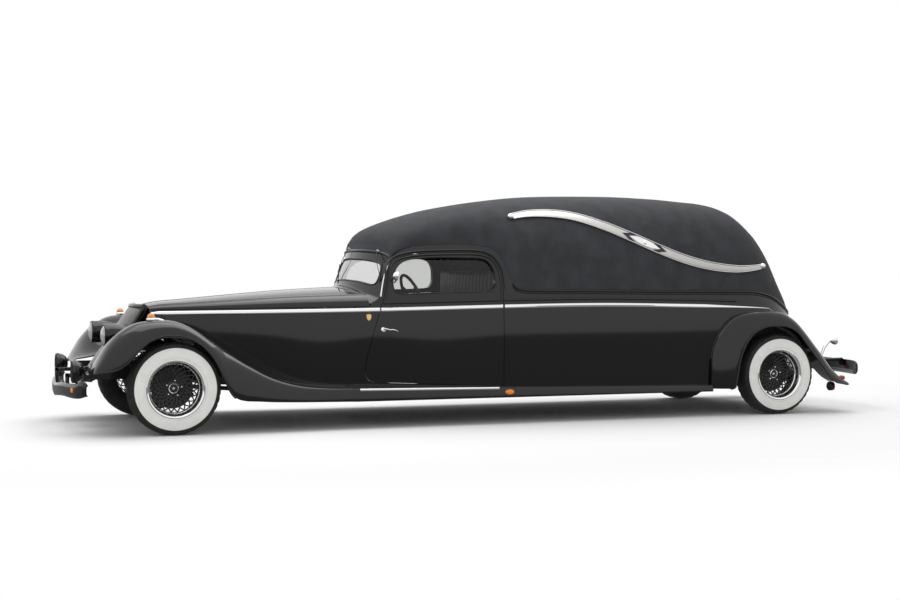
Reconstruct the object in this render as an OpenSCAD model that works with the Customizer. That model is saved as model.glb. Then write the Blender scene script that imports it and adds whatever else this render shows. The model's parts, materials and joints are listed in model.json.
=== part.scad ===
// Long-nosed hearse with separate fenders, a padded roof and landau bars.
// +X points forward, +Y to the car's left, +Z up; the origin is on the ground
// under the middle of the car. "Aft" is a distance behind the front axle.

/* [Wheels] */
// Distance between the front and rear axles
wheelbase = 5279; // [4400:10:6400]
// Distance between the middles of the left and right tyres
track = 1640; // [1500:5:1900]
// Outer diameter of a tyre
tyre_d = 700; // [600:5:840]
// Width of a tyre
tyre_w = 205; // [165:5:240]
// Diameter over the rim's lip
rim_d = 418; // [350:2:480]
// Depth of the rim from lip to lip
rim_w = 176; // [130:2:200]
// Distance between the kingpins
kingpin_span = 1436; // [1300:2:1500]

/* [Body] */
// Widest width of the body at the belt, without the fenders
body_w = 1660; // [1400:10:1900]
// Height of the roof's crown above the ground
roof_h = 1909; // [1700:5:2300]
// Height of the chrome belt line at its highest
belt_h = 955; // [900:5:1000]
// Height of the lower edge of the body sides
body_low = 235; // [200:5:280]
// Width of a fender outside the tyre
fender_over = 28; // [15:1:60]
// Overhang from the front axle to the front bumper's tip
nose_len = 800; // [760:5:900]
// Overhang from the rear axle to the rear bumper's back
tail_len = 1075; // [1000:5:1300]

/* [Panels] */
// Thickness of a door
door_t = 50; // [30:1:70]
// Thickness of the side walls
side_t = 42; // [25:1:60]
// Thickness of the padded roof with its lining
roof_t = 45; // [30:1:70]
// Thickness of the hood and its frame
hood_t = 22; // [12:1:35]
// Thickness of a fender's edge
fender_t = 12; // [8:1:20]
// Thickness of a pane
glass_t = 6; // [4:1:10]
// Gap round a door, the hood and the rear door
panel_gap = 8; // [6:1:14]
// Clearance of pieces that seat on each other
seat_gap = 0.3; // [0.2:0.1:0.5]

/* [Chassis] */
// Height of a frame rail
rail_h = 100; // [80:5:140]
// Width of a frame rail
rail_w = 80; // [60:5:110]
// Distance between the middles of the rails
rail_span = 750; // [700:10:800]
// Thickness of the floor
floor_t = 15; // [8:1:30]
// Diameter of the axle tubes
axle_d = 60; // [50:2:80]

/* [Doors] */
// Half width of the rear door at its foot
rear_door_half = 460; // [380:5:520]
// Height of the rear door's foot above the ground
rear_door_low = 560; // [520:5:640]
// Height of the rear door's top edge
rear_door_top = 1600; // [1500:5:1640]

/* [Lamps] */
// Diameter of a headlamp
headlamp_d = 180; // [150:2:220]
// Diameter of a bumper lamp
bumper_lamp_d = 170; // [140:2:200]

/* [Hidden] */
$fn = 48;

paint = "#15171a";
vinyl = "#2c2d2f";
chrome = "#c9ccce";
rubber = "#1b1b1c";
steel = "#3a3c3e";
amber = "#e08a1e";
red_lens = "#a81018";
glass = "#9fb0b4";
leather = "#4a4a4c";

// The tables below were drawn for this wheelbase, width and height.
drawn_wheelbase = 5279;
drawn_half_w = 830;
drawn_fender_y = 950;
drawn_roof = 1909;
drawn_belt = 955;

front_axle_x = (wheelbase + tail_len - nose_len) / 2;
tyre_r = tyre_d / 2;
half_w = body_w / 2;
wheel_y = track / 2;
fender_y = wheel_y + tyre_w / 2 + fender_over;
rail_y = rail_span / 2;
rail_top = tyre_r + axle_d / 2 + 20 + rail_h;
floor_top = rail_top + floor_t;

// Where the body's plan starts to curve round to the tail, and how square that curve is
tail_start = 4700;
tail_power = 2 / 3;
roof_power = 2 / 2.7;
// Aft end of the roof's crown line, and the heights between which the tail's edge rounds over
tail_ridge = 5140;
tail_edge = 880;
tail_crown = 1822;

// [aft, half width at the belt, half width at the sill, belt height]
PLAN = [
    [-140, 268, 250, 905], [0, 305, 290, 908], [400, 405, 400, 915], [800, 508, 512, 922],
    [1200, 600, 618, 928], [1650, 690, 700, 934], [2150, 757, 775, 945],
    [2700, 803, 815, 955], [3400, 828, 838, 955], [4000, 830, 840, 955], [4700, 830, 838, 955]];
// [aft, crown height of the hood]
HOOD_CROWN = [[-140, 962], [0, 989], [200, 1007], [600, 1044], [1000, 1077], [1350, 1098],
    [1490, 1106], [1570, 1124]];
// [aft at the middle, crown height of the roof, how far the sides lie aft of the middle]
ROOF = [
    [1660, 1412, 125], [1685, 1492, 115], [1735, 1556, 100], [1810, 1604, 82], [1950, 1660, 50],
    [2130, 1718, 20], [2350, 1774, 0], [2770, 1846, 0], [3195, 1891, 0], [3927, 1909, 0],
    [4400, 1897, 0], [4700, 1876, 0], [4850, 1867, 0], [5000, 1848, 0], [5140, 1822, 0]];
// [station, height of the roof skin's lower edge]; past tail_start a station is 10 per degree
ROOF_EDGE = [
    [1660, 1330], [1685, 1352], [1735, 1385], [1810, 1418], [1950, 1446], [2130, 1460],
    [2400, 1466], [2600, 1445], [2680, 1400], [2735, 1300], [2770, 1200], [2800, 1125],
    [2860, 1098], [2950, 1088], [3500, 1084], [4300, 1077], [4820, 1073], [4900, 1062],
    [5000, 1030], [5120, 960], [5250, 895], [5380, 880], [5600, 880]];
// [height, aft of the rear face at the middle of the car]
REAR = [[235, 5810], [600, 5765], [930, 5680], [1160, 5560], [1375, 5455], [1550, 5350],
    [1610, 5300], [1700, 5225], [1760, 5170], [1800, 5120], [1860, 5060]];

// Fender sections: [aft, inner y (0: along the body), inner height, crest height, crest y,
// lower edge height, how far the outer face lies inside the widest line]
FRONT_FENDER = [
    [-600, 520, 480, 500, 740, 470, 70], [-570, 430, 518, 560, 745, 480, 42],
    [-520, 330, 532, 650, 752, 488, 20], [-440, 282, 550, 745, 762, 505, 6],
    [-360, 280, 565, 805, 770, 552, 0], [-280, 284, 600, 845, 775, 640, 0],
    [-190, 286, 640, 861, 778, 716, 0], [-100, 286, 680, 867, 780, 747, 0],
    [0, 0, 712, 860, 780, 752, 0], [95, 0, 715, 828, 780, 731, 0],
    [185, 0, 700, 778, 782, 680, 0], [255, 0, 680, 730, 785, 612, 0],
    [315, 0, 655, 690, 788, 520, 0], [360, 0, 635, 656, 792, 425, 0],
    [400, 0, 614, 628, 796, 335, 0], [445, 0, 588, 598, 800, 277, 0],
    [520, 0, 545, 549, 808, 250, 2], [620, 0, 488, 492, 818, 243, 6],
    [730, 0, 430, 434, 828, 235, 12], [850, 0, 385, 388, 838, 230, 20],
    [1000, 0, 347, 350, 850, 225, 30], [1200, 0, 326, 328, 862, 221, 40],
    [1400, 0, 318, 320, 872, 217, 46]];
REAR_FENDER = [
    [4625, 0, 470, 480, 850, 238, 84], [4650, 0, 600, 606, 852, 238, 60],
    [4695, 0, 695, 700, 855, 238, 34], [4760, 0, 782, 786, 858, 238, 12],
    [4815, 0, 830, 834, 860, 240, 3], [4838, 0, 846, 850, 862, 350, 0],
    [4862, 0, 858, 862, 864, 480, 0], [4905, 0, 872, 878, 866, 590, 0],
    [4955, 0, 884, 890, 866, 668, 0], [5025, 0, 892, 900, 866, 728, 0],
    [5125, 0, 896, 904, 864, 767, 0], [5235, 0, 892, 902, 860, 775, 0],
    [5340, 0, 874, 884, 852, 765, 0], [5440, 0, 818, 828, 846, 715, 0],
    [5510, 0, 756, 766, 842, 640, 0], [5585, 0, 676, 686, 838, 550, 0],
    [5655, 625, 596, 606, 836, 468, 0], [5720, 610, 522, 532, 834, 395, 2],
    [5785, 600, 446, 456, 832, 315, 6], [5850, 595, 374, 384, 830, 272, 12],
    [5930, 590, 306, 314, 828, 256, 26], [6010, 588, 262, 270, 824, 240, 48]];
// Door outline and its window, [aft, height], clockwise from the lower front corner
DOOR = [
    [1632, 350], [1590, 366], [1572, 388], [1560, 425], [1560, 468], [1576, 560], [1600, 651],
    [1650, 830], [1700, 990], [1712, 1030], [1738, 1150], [1762, 1272], [1784, 1306],
    [1822, 1338], [1930, 1371], [2080, 1387], [2300, 1394], [2500, 1393], [2570, 1382],
    [2630, 1352], [2672, 1295], [2694, 1229], [2704, 1100], [2704, 306]];
WINDOW = [
    [1842, 1066], [1806, 1082], [1792, 1130], [1800, 1200], [1826, 1262], [1880, 1312],
    [1950, 1334], [2050, 1345], [2185, 1350], [2400, 1349], [2535, 1344], [2590, 1322],
    [2626, 1270], [2640, 1200], [2638, 1130], [2612, 1095], [2560, 1086], [2185, 1075]];

// --- Curves through tables, and the body's surfaces ---

function row(t, x, i = 0) = i >= len(t) - 2 || x < t[i + 1][0] ? i : row(t, x, i + 1);
function rise(t, i, c) = let (a = max(i - 1, 0), b = min(i + 1, len(t) - 1))
    (t[b][c] - t[a][c]) / (t[b][0] - t[a][0]);
// Value of column c at x, on a smooth curve through the rows of table t
function curve(t, x, c = 1) = let (
    i = row(t, x), h = t[i + 1][0] - t[i][0], s = max(0, min(1, (x - t[i][0]) / h)),
    r = s * s * (3 - 2 * s))
    t[i][c] * (1 - r) + t[i + 1][c] * r
    + h * (rise(t, i, c) * s * (1 - s) * (1 - s) - rise(t, i + 1, c) * s * s * (1 - s));

// Aft distance in the tables to x from the middle of the car
function at(aft) = front_axle_x - (aft < 0 ? aft : aft < drawn_wheelbase
    ? aft * wheelbase / drawn_wheelbase : aft - drawn_wheelbase + wheelbase);
// Heights above the belt grow with the roof, and those below it stay
function up(z) = z <= drawn_belt ? z * belt_h / drawn_belt
    : belt_h + (z - drawn_belt) * (roof_h - belt_h) / (drawn_roof - drawn_belt);
function wide(y) = y * half_w / drawn_half_w;

// Half width of the body at an aft distance and height, in table values
function half_at(aft, z) = let (
    b = curve(PLAN, aft), l = curve(PLAN, aft, 2), zb = curve(PLAN, aft, 3),
    s = (z - body_low) / (zb - body_low))
    z > zb ? b - 0.0005 * (z - zb) * (z - zb) : l + (b - l) * s + 72 * s * (1 - s) * s;
function bend(s) = max(0, s - tail_start) / 10;
function sweep(start, end, t) = start + (end - start) * pow(sin(t), tail_power);
// Point of the body's side at station s and height z, moved in by an inset
function side_pt(s, z, inset) = let (
    t = bend(s), y = (wide(half_at(min(s, tail_start), z)) - inset) * pow(cos(t), tail_power),
    aft = t == 0 ? s : sweep(tail_start, curve(REAR, z) - inset, t))
    [at(aft), max(y, seat_gap / 2), up(z)];
// Half width of the body at any aft distance and height
function body_y(aft, z) = let (t = max(0, aft - tail_start) / (curve(REAR, z) - tail_start),
    square = 2 / tail_power)
    wide(half_at(min(aft, tail_start), z)) * pow(max(0, 1 - pow(t, square)), 1 / square);
// Point of the roof at station s; r runs from 0 at the left edge over 90 at the crown to 180
function roof_pt(s, r, inset) = let (
    t = bend(s), edge = curve(ROOF_EDGE, s), lift = pow(abs(sin(r)), roof_power),
    across = pow(abs(cos(r)), roof_power) * (r > 90 ? -1 : 1),
    crown = curve(ROOF, t == 0 ? s : sweep(tail_start, tail_ridge, t)) - inset,
    z = edge + (crown - edge) * lift,
    y = (wide(half_at(min(s, tail_start), edge)) - inset) * across * pow(cos(t), tail_power),
    aft = t == 0 ? s + curve(ROOF, s, 2) * across * across
        : sweep(tail_start, curve(REAR, z) - inset, t))
    [at(aft), y, up(z)];
// Point of the rear face at y across and height z
function rear_pt(y, z, inset) = let (
    lift = max(0, z - tail_edge) / (tail_crown - tail_edge),
    w = (wide(half_at(tail_start, min(z, tail_edge))) - inset)
        * pow(1 - pow(lift, 2 / roof_power), roof_power / 2),
    square = 2 / tail_power,
    depth = pow(1 - pow(min(1, abs(y) / w), square), 1 / square))
    [at(tail_start + (curve(REAR, z) - inset - tail_start) * depth), y, up(z)];

// --- Building blocks ---

// Closed thick panel from two grids of points [station][row]: stations run aft and rows up
// on the left side. With bridge the last station closes across the car.
module panel(outer, inner, bridge = false) {
    n = len(outer);
    m = len(outer[0]);
    mid = (m - 1) / 2;
    e = n - 1;
    function o(i, j) = i * m + j;
    function q(i, j) = n * m + i * m + j;
    quads = [
        for (i = [0 : n - 2]) for (j = [0 : m - 2]) each [
            [o(i, j), o(i, j + 1), o(i + 1, j + 1), o(i + 1, j)],
            [q(i, j), q(i + 1, j), q(i + 1, j + 1), q(i, j + 1)]],
        for (i = [0 : n - 2]) each [
            [o(i, 0), o(i + 1, 0), q(i + 1, 0), q(i, 0)],
            [o(i + 1, m - 1), o(i, m - 1), q(i, m - 1), q(i + 1, m - 1)]],
        for (j = [0 : m - 2]) [o(0, j + 1), o(0, j), q(0, j), q(0, j + 1)],
        if (!bridge) for (j = [0 : m - 2]) [o(e, j), o(e, j + 1), q(e, j + 1), q(e, j)],
        if (bridge) for (j = [0 : mid - 2]) each [
            [o(e, j), o(e, j + 1), o(e, m - 2 - j), o(e, m - 1 - j)],
            [q(e, j + 1), q(e, j), q(e, m - 1 - j), q(e, m - 2 - j)]],
        if (bridge) [o(e, 0), o(e, m - 1), q(e, m - 1), q(e, 0)]];
    tips = bridge ? [[o(e, mid - 1), o(e, mid), o(e, mid + 1)],
        [q(e, mid + 1), q(e, mid), q(e, mid - 1)]] : [];
    polyhedron(
        points = concat([for (s = outer) each s], [for (s = inner) each s]),
        faces = concat(tips, [for (f = quads) each [[f[0], f[1], f[2]], [f[0], f[2], f[3]]]]));
}

// The same piece on the left and on the right
module both_sides() {
    children();
    mirror([0, 1, 0]) children();
}

// Outline with each point moved outward by d (points clockwise in [aft, height])
function unit(v) = v / norm(v);
function grow(p, d) = [for (i = [0 : len(p) - 1]) let (
    a = unit(p[i] - p[(i + len(p) - 1) % len(p)]), b = unit(p[(i + 1) % len(p)] - p[i]),
    k = unit([-a[1] - b[1], a[0] + b[0]]))
    p[i] + k * d / max(0.5, k * [-a[1], a[0]])];
// Prism across the left side of the car from an [aft, height] outline
module side_prism(outline, y0 = 300, y1 = 1300) {
    translate([0, y1, 0]) rotate([90, 0, 0]) linear_extrude(y1 - y0)
        polygon([for (p = outline) [at(p[0]), up(p[1])]]);
}
// Prism along the car from a [y, height] outline
module long_prism(outline, x0, x1) {
    translate([x0, 0, 0]) rotate([90, 0, 90]) linear_extrude(x1 - x0) polygon(outline);
}
// Box from its lowest and highest corners
module block(low, high) {
    translate(low) cube(high - low);
}
// Round bar between two points
module bar(a, b, d) {
    v = b - a;
    translate(a) rotate([0, acos(v[2] / norm(v)), atan2(v[1], v[0])])
        cylinder(h = norm(v), d = d);
}
// Body turned about the Y direction through a centre
module across_axis(centre) {
    translate(centre) rotate([-90, 0, 0]) children();
}

// --- Chassis ---

rail_front = at(-620);
rail_back = at(5960);
// How far aft of the front axle each crossmember lies
CROSSMEMBERS = [-380, -120, 1250, 2400, 3600, 4400, 4960, 5860];
// How far aft of the front axle each jack pad lies
JACK_PADS = [1500, 4150];
jack_pad_l = 160;
jack_pad_t = 12;

// Holes across the rails' ends that take a tow pin
tow_pin_d = 28;
tow_pin_in = 32;

module chassis_frame() {
    color(steel) {
        both_sides() difference() {
            block([rail_back, rail_y - rail_w / 2, rail_top - rail_h],
                [rail_front, rail_y + rail_w / 2, rail_top]);
            for (x = [rail_back + tow_pin_in, rail_front - tow_pin_in])
                across_axis([x, 0, rail_top - rail_h / 2]) cylinder(h = 1000, d = tow_pin_d);
        }
        for (a = CROSSMEMBERS) block(
            [at(a) - 35, -rail_y, rail_top - rail_h + 15], [at(a) + 35, rail_y, rail_top - 15]);
        // Jack pads under the rails
        both_sides() for (a = JACK_PADS) block(
            [at(a) - jack_pad_l / 2, rail_y - rail_w / 2, rail_top - rail_h - jack_pad_t],
            [at(a) + jack_pad_l / 2, rail_y + rail_w / 2, rail_top - rail_h + 1]);
    }
}

floor_front = 1612;
firewall_top = 1000;
firewall_t = 12;
// Outline of the floor, [aft, half width], kept inside the doors and the tail
FLOOR_PLAN = [[1612, 618], [1800, 650], [5430, 655], [5640, 420]];
function plan_outline(p) = concat([for (q = p) [at(q[0]), wide(q[1])]],
    [for (i = [len(p) - 1 : -1 : 0]) [at(p[i][0]), -wide(p[i][1])]]);
house_in = wheel_y - tyre_w / 2 - 55;
house_r = tyre_r + 70;
rear_axle_x = front_axle_x - wheelbase;

module floor_pan() {
    color(steel) {
        translate([0, 0, rail_top]) linear_extrude(floor_t) polygon(plan_outline(FLOOR_PLAN));
        difference() {
            union() {
                long_prism([[-wide(560), rail_top], [wide(560), rail_top], [wide(560), 960],
                    [300, firewall_top], [-300, firewall_top], [-wide(560), 960]],
                    at(floor_front), at(floor_front) + firewall_t);
                both_sides() for (y = [hood_hinge_y - 20, hood_hinge_y + 12])
                    block([at(floor_front), y, firewall_top - 40],
                        [hood_axis[0] + 12, y + 8, hood_axis[1] + 12]);
            }
            both_sides() translate([hood_axis[0], hood_hinge_y, hood_axis[1]])
                rotate([90, 0, 0]) cylinder(h = 60, d = hinge_pin_d + 2 * seat_gap, center = true);
        }
        both_sides() intersection() {
            across_axis([rear_axle_x, house_in, tyre_r]) difference() {
                cylinder(h = wide(780) - house_in - 45, r = house_r + floor_t);
                translate([0, 0, floor_t]) cylinder(h = 400, r = house_r);
            }
            block([rear_axle_x - 600, 0, floor_top + seat_gap], [rear_axle_x + 600, 1000, 1000]);
        }
    }
}

// --- Body shell ---

ROOF_STATIONS = [1660, 1685, 1735, 1810, 1950, 2130, 2350, 2600, 2680, 2735, 2770, 2800, 2860,
    2950, 3300, 3927, 4400, 4700, 4720, 4760, 4820, 4900, 5000, 5120, 5250, 5380, 5500];
edge_gap = 2;
// Rows of a side: [station, lower edge, upper edge]. The first rows are the front pillar, the
// next ones end under the roof's edge, and the last one closes the tail.
SIDE_ROWS = concat(
    [for (p = [[1690, 1045], [1711, 1135], [1745, 1245]]) [p[0], body_low, p[1]]],
    [for (s = ROOF_STATIONS) [s + curve(ROOF, s, 2), body_low, curve(ROOF_EDGE, s) - edge_gap]],
    [[5600, body_low, tail_edge - edge_gap]]);
side_cells = 8;
hood_seam = 22;

// Grid of side points over rows of [station, lower edge, upper edge]
function side_grid(rows, inset) = [for (r = rows)
    [for (j = [0 : side_cells]) side_pt(r[0], r[1] + (r[2] - r[1]) * j / side_cells, inset)]];
// The hood sides reach down to the fenders and stay above the rails at the nose
HOOD_SIDE_ROWS = [for (s = [-94, -40, 60, 250, 500, 800, 1100, 1350, 1550, 1690])
    [s, max(body_low, curve(FRONT_FENDER, s, 3) - 60, s < 560 ? rail_top + 5 : 0),
        curve(PLAN, s, 3) + hood_seam]];

function rear_door_outline(d) = let (w = rear_door_half + d, t = w - 50, r = 90,
    low = rear_door_low - d, top = rear_door_top + d)
    [[-w, low + r], [-w + r / 3, low + r / 4], [-w + r, low], [w - r, low],
     [w - r / 3, low + r / 4], [w, low + r], [t + 8, top - r], [t - r / 3, top - r / 4],
     [t - r, top], [-t + r, top], [-t + r / 3, top - r / 4], [-t - 8, top - r]];

module body_side_left() {
    color(paint) {
        difference() {
            panel(side_grid(SIDE_ROWS, 0), side_grid(SIDE_ROWS, side_t));
            side_prism(grow(DOOR, panel_gap));
            across_axis([rear_axle_x, 300, tyre_r])
                cylinder(h = 900, r = house_r + floor_t + 2);
            block([at(6200), rail_y - rail_w / 2 - 6, rail_top - rail_h - 6],
                [at(5400), rail_y + rail_w / 2 + 6, rail_top + 6]);
            rear_door_cut(panel_gap);
        }
        body_knuckles();
    }
}
module rear_door_cut(d) {
    long_prism([for (p = rear_door_outline(d)) [p[0], up(p[1])]], at(6200), at(5050));
}
module body_side_right() {
    mirror([0, 1, 0]) body_side_left();
}

module hood_sides() {
    color(paint) both_sides() difference() {
        panel(side_grid(HOOD_SIDE_ROWS, 0), side_grid(HOOD_SIDE_ROWS, hood_t));
        side_prism(grow(DOOR, panel_gap));
    }
}

ROOF_TURNS = [0, 12, 25, 38, 52, 66, 78];
function roof_turns() = concat(ROOF_TURNS, [90], [for (i = [len(ROOF_TURNS) - 1 : -1 : 0])
    180 - ROOF_TURNS[i]]);
module padded_roof() {
    color(vinyl) difference() {
        panel([for (s = ROOF_STATIONS) [for (r = roof_turns()) roof_pt(s, r, 0)]],
            [for (s = ROOF_STATIONS) [for (r = roof_turns()) roof_pt(s, r, roof_t)]], true);
        rear_door_cut(panel_gap);
    }
    color(vinyl) rear_hinge_ears();
}

// Hood and cowl: arched strips between the belt seams
hood_rear_bow = 112;
hood_front_bow = 44;
HOOD_RINGS = [-138, -60, 80, 300, 600, 900, 1200, 1350, 1482];
// How far the sides of a ring lie aft of its middle
function hood_bow(s) = s < 0 ? hood_front_bow * s / HOOD_RINGS[0]
    : s < 900 ? 0 : hood_rear_bow * pow((s - 900) / 582, 2);
function hood_pt(s, r, inset) = let (
    bow = hood_bow(s), base = curve(PLAN, s + bow, 3) + hood_seam + panel_gap,
    w = wide(curve(PLAN, s + bow)) - inset, across = pow(abs(cos(r)), 0.9) * (r > 90 ? -1 : 1),
    z = base + (curve(HOOD_CROWN, s) - inset - base) * pow(abs(sin(r)), 0.8))
    [at(s + bow * across * across), w * across, up(z)];
arch_turns = [for (r = [0 : 15 : 180]) r];
function hood_inside(s) = min(s, hood_back - hood_bevel);
hood_back = HOOD_RINGS[len(HOOD_RINGS) - 1];
hood_bevel = 32;
// Hood hinge: its axis, the pin, and the arm that loops under the cowl's front edge
hood_axis = [at(1590), 1045];
hood_hinge_y = 300;
hinge_pin_d = 10;
HOOD_ARM = [[-9, -9], [58, -84], [114, -86], [175, 20], [175, 36], [155, 36], [100, -66],
    [60, -66], [9, 3], [0, 9], [-9, 9]];
module hood() {
    color(paint) {
        panel([for (s = HOOD_RINGS) [for (r = arch_turns) hood_pt(s, r, 0)]],
            [for (s = HOOD_RINGS) [for (r = arch_turns) hood_pt(hood_inside(s), r, hood_t)]]);
        both_sides() translate([hood_axis[0], hood_hinge_y, hood_axis[1]]) {
            rotate([90, 0, 0]) translate([0, 0, -8]) linear_extrude(16) polygon(HOOD_ARM);
            rotate([90, 0, 0]) cylinder(h = 44, d = hinge_pin_d, center = true);
        }
    }
}

// Rows from the hood's rear edge over the scuttle and up the windscreen to the header:
// [aft at the middle, height at the middle, how far the ends lie aft, how far they drop]
COWL_ROWS = [[1490, 1108, 118, 128], [1520, 1116, 122, 118], [1560, 1128, 126, 95],
    [1585, 1210, 126, 70], [1620, 1300, 125, 58], [1646, 1360, 128, 56]];
cowl_turns = [for (k = [-5 : 5]) k / 5];
function cowl_half(k) = let (r = COWL_ROWS[k]) wide(half_at(r[0] + r[2], r[1] - r[3])) - 1;
function cowl_pt(k, v, inset) = let (r = COWL_ROWS[k])
    [at(r[0] + r[2] * v * v) - (k > 2 ? inset : inset * k / 3), -(cowl_half(k) - side_t - 2) * v,
        up(r[1] - r[3] * v * v - (k > 2 ? 0 : inset))];
// Windscreen outline as [y, height]
function screen_outline(d) = let (w = wide(505) + d)
    [[-w + 30, 1132 - d], [-w, 1160], [-w + 10, 1250], [-w + 70, 1306 + d], [0, 1340 + d],
     [w - 70, 1306 + d], [w - 10, 1250], [w, 1160], [w - 30, 1132 - d], [0, 1172 - d]];
module cowl() {
    color(paint) difference() {
        panel([for (v = cowl_turns) [for (k = [0 : 5]) cowl_pt(k, v, 0)]],
            [for (v = cowl_turns) [for (k = [0 : 5]) cowl_pt(k, v, 24)]]);
        long_prism([for (p = screen_outline(0)) [p[0], up(p[1])]], at(1900), at(1540));
        both_sides() side_prism(grow(DOOR, panel_gap));
    }
}
module windscreen() {
    color(glass) intersection() {
        panel([for (v = cowl_turns) [for (k = [2 : 5]) cowl_pt(k, v, 10)]],
            [for (v = cowl_turns) [for (k = [2 : 5]) cowl_pt(k, v, 10 + glass_t)]]);
        long_prism([for (p = screen_outline(-seat_gap)) [p[0], up(p[1])]], at(1900), at(1400));
    }
}

// --- Nose ---

// [height, aft of the middle, half width, how far the sides lie aft of the middle]
NOSE = [[370, -590, 135, 60], [480, -530, 165, 70], [600, -445, 195, 78], [720, -360, 225, 84],
    [840, -280, 250, 88], [930, -215, 266, 72], [968, -180, 262, 44]];
nose_turns = [for (k = [-4 : 4]) k / 4];
function nose_pt(r, v, inset) = [at(r[1] + inset + r[3] * v * v), -wide(r[2]) * v, up(r[0])];
module grille_shell() {
    color(chrome) panel([for (v = nose_turns) [for (r = NOSE) nose_pt(r, v, 0)]],
        [for (v = nose_turns) [for (r = NOSE) nose_pt(r, v, 30)]]);
}

inner_steps = 5;
outer_steps = 6;
fender_power = 2 / 2.3;
fender_seam = 3;
function fender_pt(f, k, inset) = let (
    yi = f[1] > 0 ? wide(f[1]) : body_y(f[0], f[2]) + fender_seam, yc = fender_y - (drawn_fender_y - f[4]),
    yo = fender_y - f[6] - inset, zc = f[3] - inset, zi = f[2] - inset,
    h = k / inner_steps, t = 90 * (k - inner_steps) / outer_steps)
    k < inner_steps
        ? [at(f[0]), yi + (yc - yi) * h, zi + (zc - zi) * (1 - cos(180 * h)) / 2]
        : [at(f[0]), yc + (yo - yc) * pow(sin(t), fender_power),
            f[5] + (zc - f[5]) * pow(max(0, cos(t)), fender_power)];
function fender_grid(table, inset) = [for (f = table)
    [for (k = [inner_steps + outer_steps : -1 : 0]) fender_pt(f, k, inset)]];
module fender(table) {
    panel(fender_grid(table, 0), fender_grid(table, fender_t));
}
module front_fenders() {
    color(paint) both_sides() fender(FRONT_FENDER);
}
module rear_fenders() {
    color(paint) both_sides() fender(REAR_FENDER);
}
// Rockers carry the fenders' sweep along the body, in the same columns
function rocker_row(s) = [s, 0, 316 - 46 * (s - 1400) / 3200,
    318 - 46 * (s - 1400) / 3200, 872 + 8 * (s - 1400) / 3200, 216, 46];
module rockers() {
    color(paint) both_sides() fender([for (s = [1402, 1550, 1700, 1900, 2100, 2350, 2600,
        2900, 3300, 3900, 4622])
        rocker_row(s)]);
}

// --- Lamps, bumpers and landau bars ---

headlamp_at = [at(-465), 375, 737];
// Torpedo body of a lamp, its face at x = 0 and its tail behind
module torpedo(d, len) {
    rotate([0, -90, 0]) rotate_extrude() polygon([[0, 0], [d * 0.44, 6], [d / 2, 22],
        [d / 2, len * 0.18], [d * 0.46, len * 0.4], [d * 0.34, len * 0.68], [d * 0.16, len * 0.9],
        [0, len]]);
}
module headlamps() {
    color(paint) both_sides() translate(headlamp_at) {
        torpedo(headlamp_d, 300);
        translate([-190, 0, -headlamp_d * 0.30 - 45]) cylinder(h = 68, d = 36);
    }
}

bumper_lamp_at = [at(-725), 555, 472];
module bumper_lamps() {
    color(paint) both_sides() translate(bumper_lamp_at) {
        rotate([0, -90, 0]) rotate_extrude() polygon([[0, 0], [bumper_lamp_d * 0.47, 4],
            [bumper_lamp_d / 2, 14], [bumper_lamp_d / 2, 30], [bumper_lamp_d * 0.42, 62],
            [bumper_lamp_d * 0.24, 88], [0, 100]]);
        translate([-40, 0, -bumper_lamp_d / 2 - 20]) cylinder(h = 40, d = 24);
    }
}

bumper_half = 760;
bumper_t = 14;
BUMPER_PLAN = [[0, 0], [200, 12], [420, 42], [620, 88], [740, 135], [760, 150]];
module bumper_blade(front, outline) {
    intersection() {
        translate([0, 0, -50]) linear_extrude(700) polygon(concat(
            [for (i = [len(BUMPER_PLAN) - 1 : -1 : 1]) [front - BUMPER_PLAN[i][1], -BUMPER_PLAN[i][0]]],
            [for (p = BUMPER_PLAN) [front - p[1], p[0]]],
            [for (i = [len(BUMPER_PLAN) - 1 : -1 : 0])
                [front - BUMPER_PLAN[i][1] - bumper_t, BUMPER_PLAN[i][0] - 4]],
            [for (i = [1 : len(BUMPER_PLAN) - 1])
                [front - BUMPER_PLAN[i][1] - bumper_t, -BUMPER_PLAN[i][0] + 4]]));
        long_prism(outline, -5000, 5000);
    }
}
FRONT_BLADE = [[-760, 300], [-640, 275], [-300, 275], [0, 255], [300, 275], [640, 275],
    [760, 300], [755, 395], [700, 412], [650, 386], [460, 380], [330, 378], [0, 352],
    [-330, 378], [-460, 380], [-650, 386], [-700, 412], [-755, 395]];
REAR_BLADE = [[-760, 330], [-700, 315], [0, 315], [700, 315], [760, 330], [760, 420],
    [700, 440], [0, 440], [-700, 440], [-760, 420]];
front_tip_x = front_axle_x + nose_len;
rear_tip_x = rear_axle_x - tail_len;
module front_bumper() {
    color(paint) {
        bumper_blade(front_tip_x, FRONT_BLADE);
        both_sides() {
            block([rail_front + seat_gap, rail_y - 25, rail_top - rail_h + 20],
                [front_tip_x - 52, rail_y + 25, rail_top - rail_h + 50]);
            block([front_tip_x - 80, rail_y - 25, 330], [front_tip_x - 52, rail_y + 25,
                rail_top - rail_h + 50]);
        }
    }
}
module rear_bumper() {
    color(paint) {
        mirror([1, 0, 0]) bumper_blade(-rear_tip_x, REAR_BLADE);
        both_sides() {
            block([rear_tip_x + 52, rail_y - 25, rail_top - rail_h + 20],
                [rail_back - seat_gap, rail_y + 25, rail_top - rail_h + 50]);
            block([rear_tip_x + 52, rail_y - 25, 380], [rear_tip_x + 80, rail_y + 25,
                rail_top - rail_h + 50]);
        }
    }
}

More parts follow.
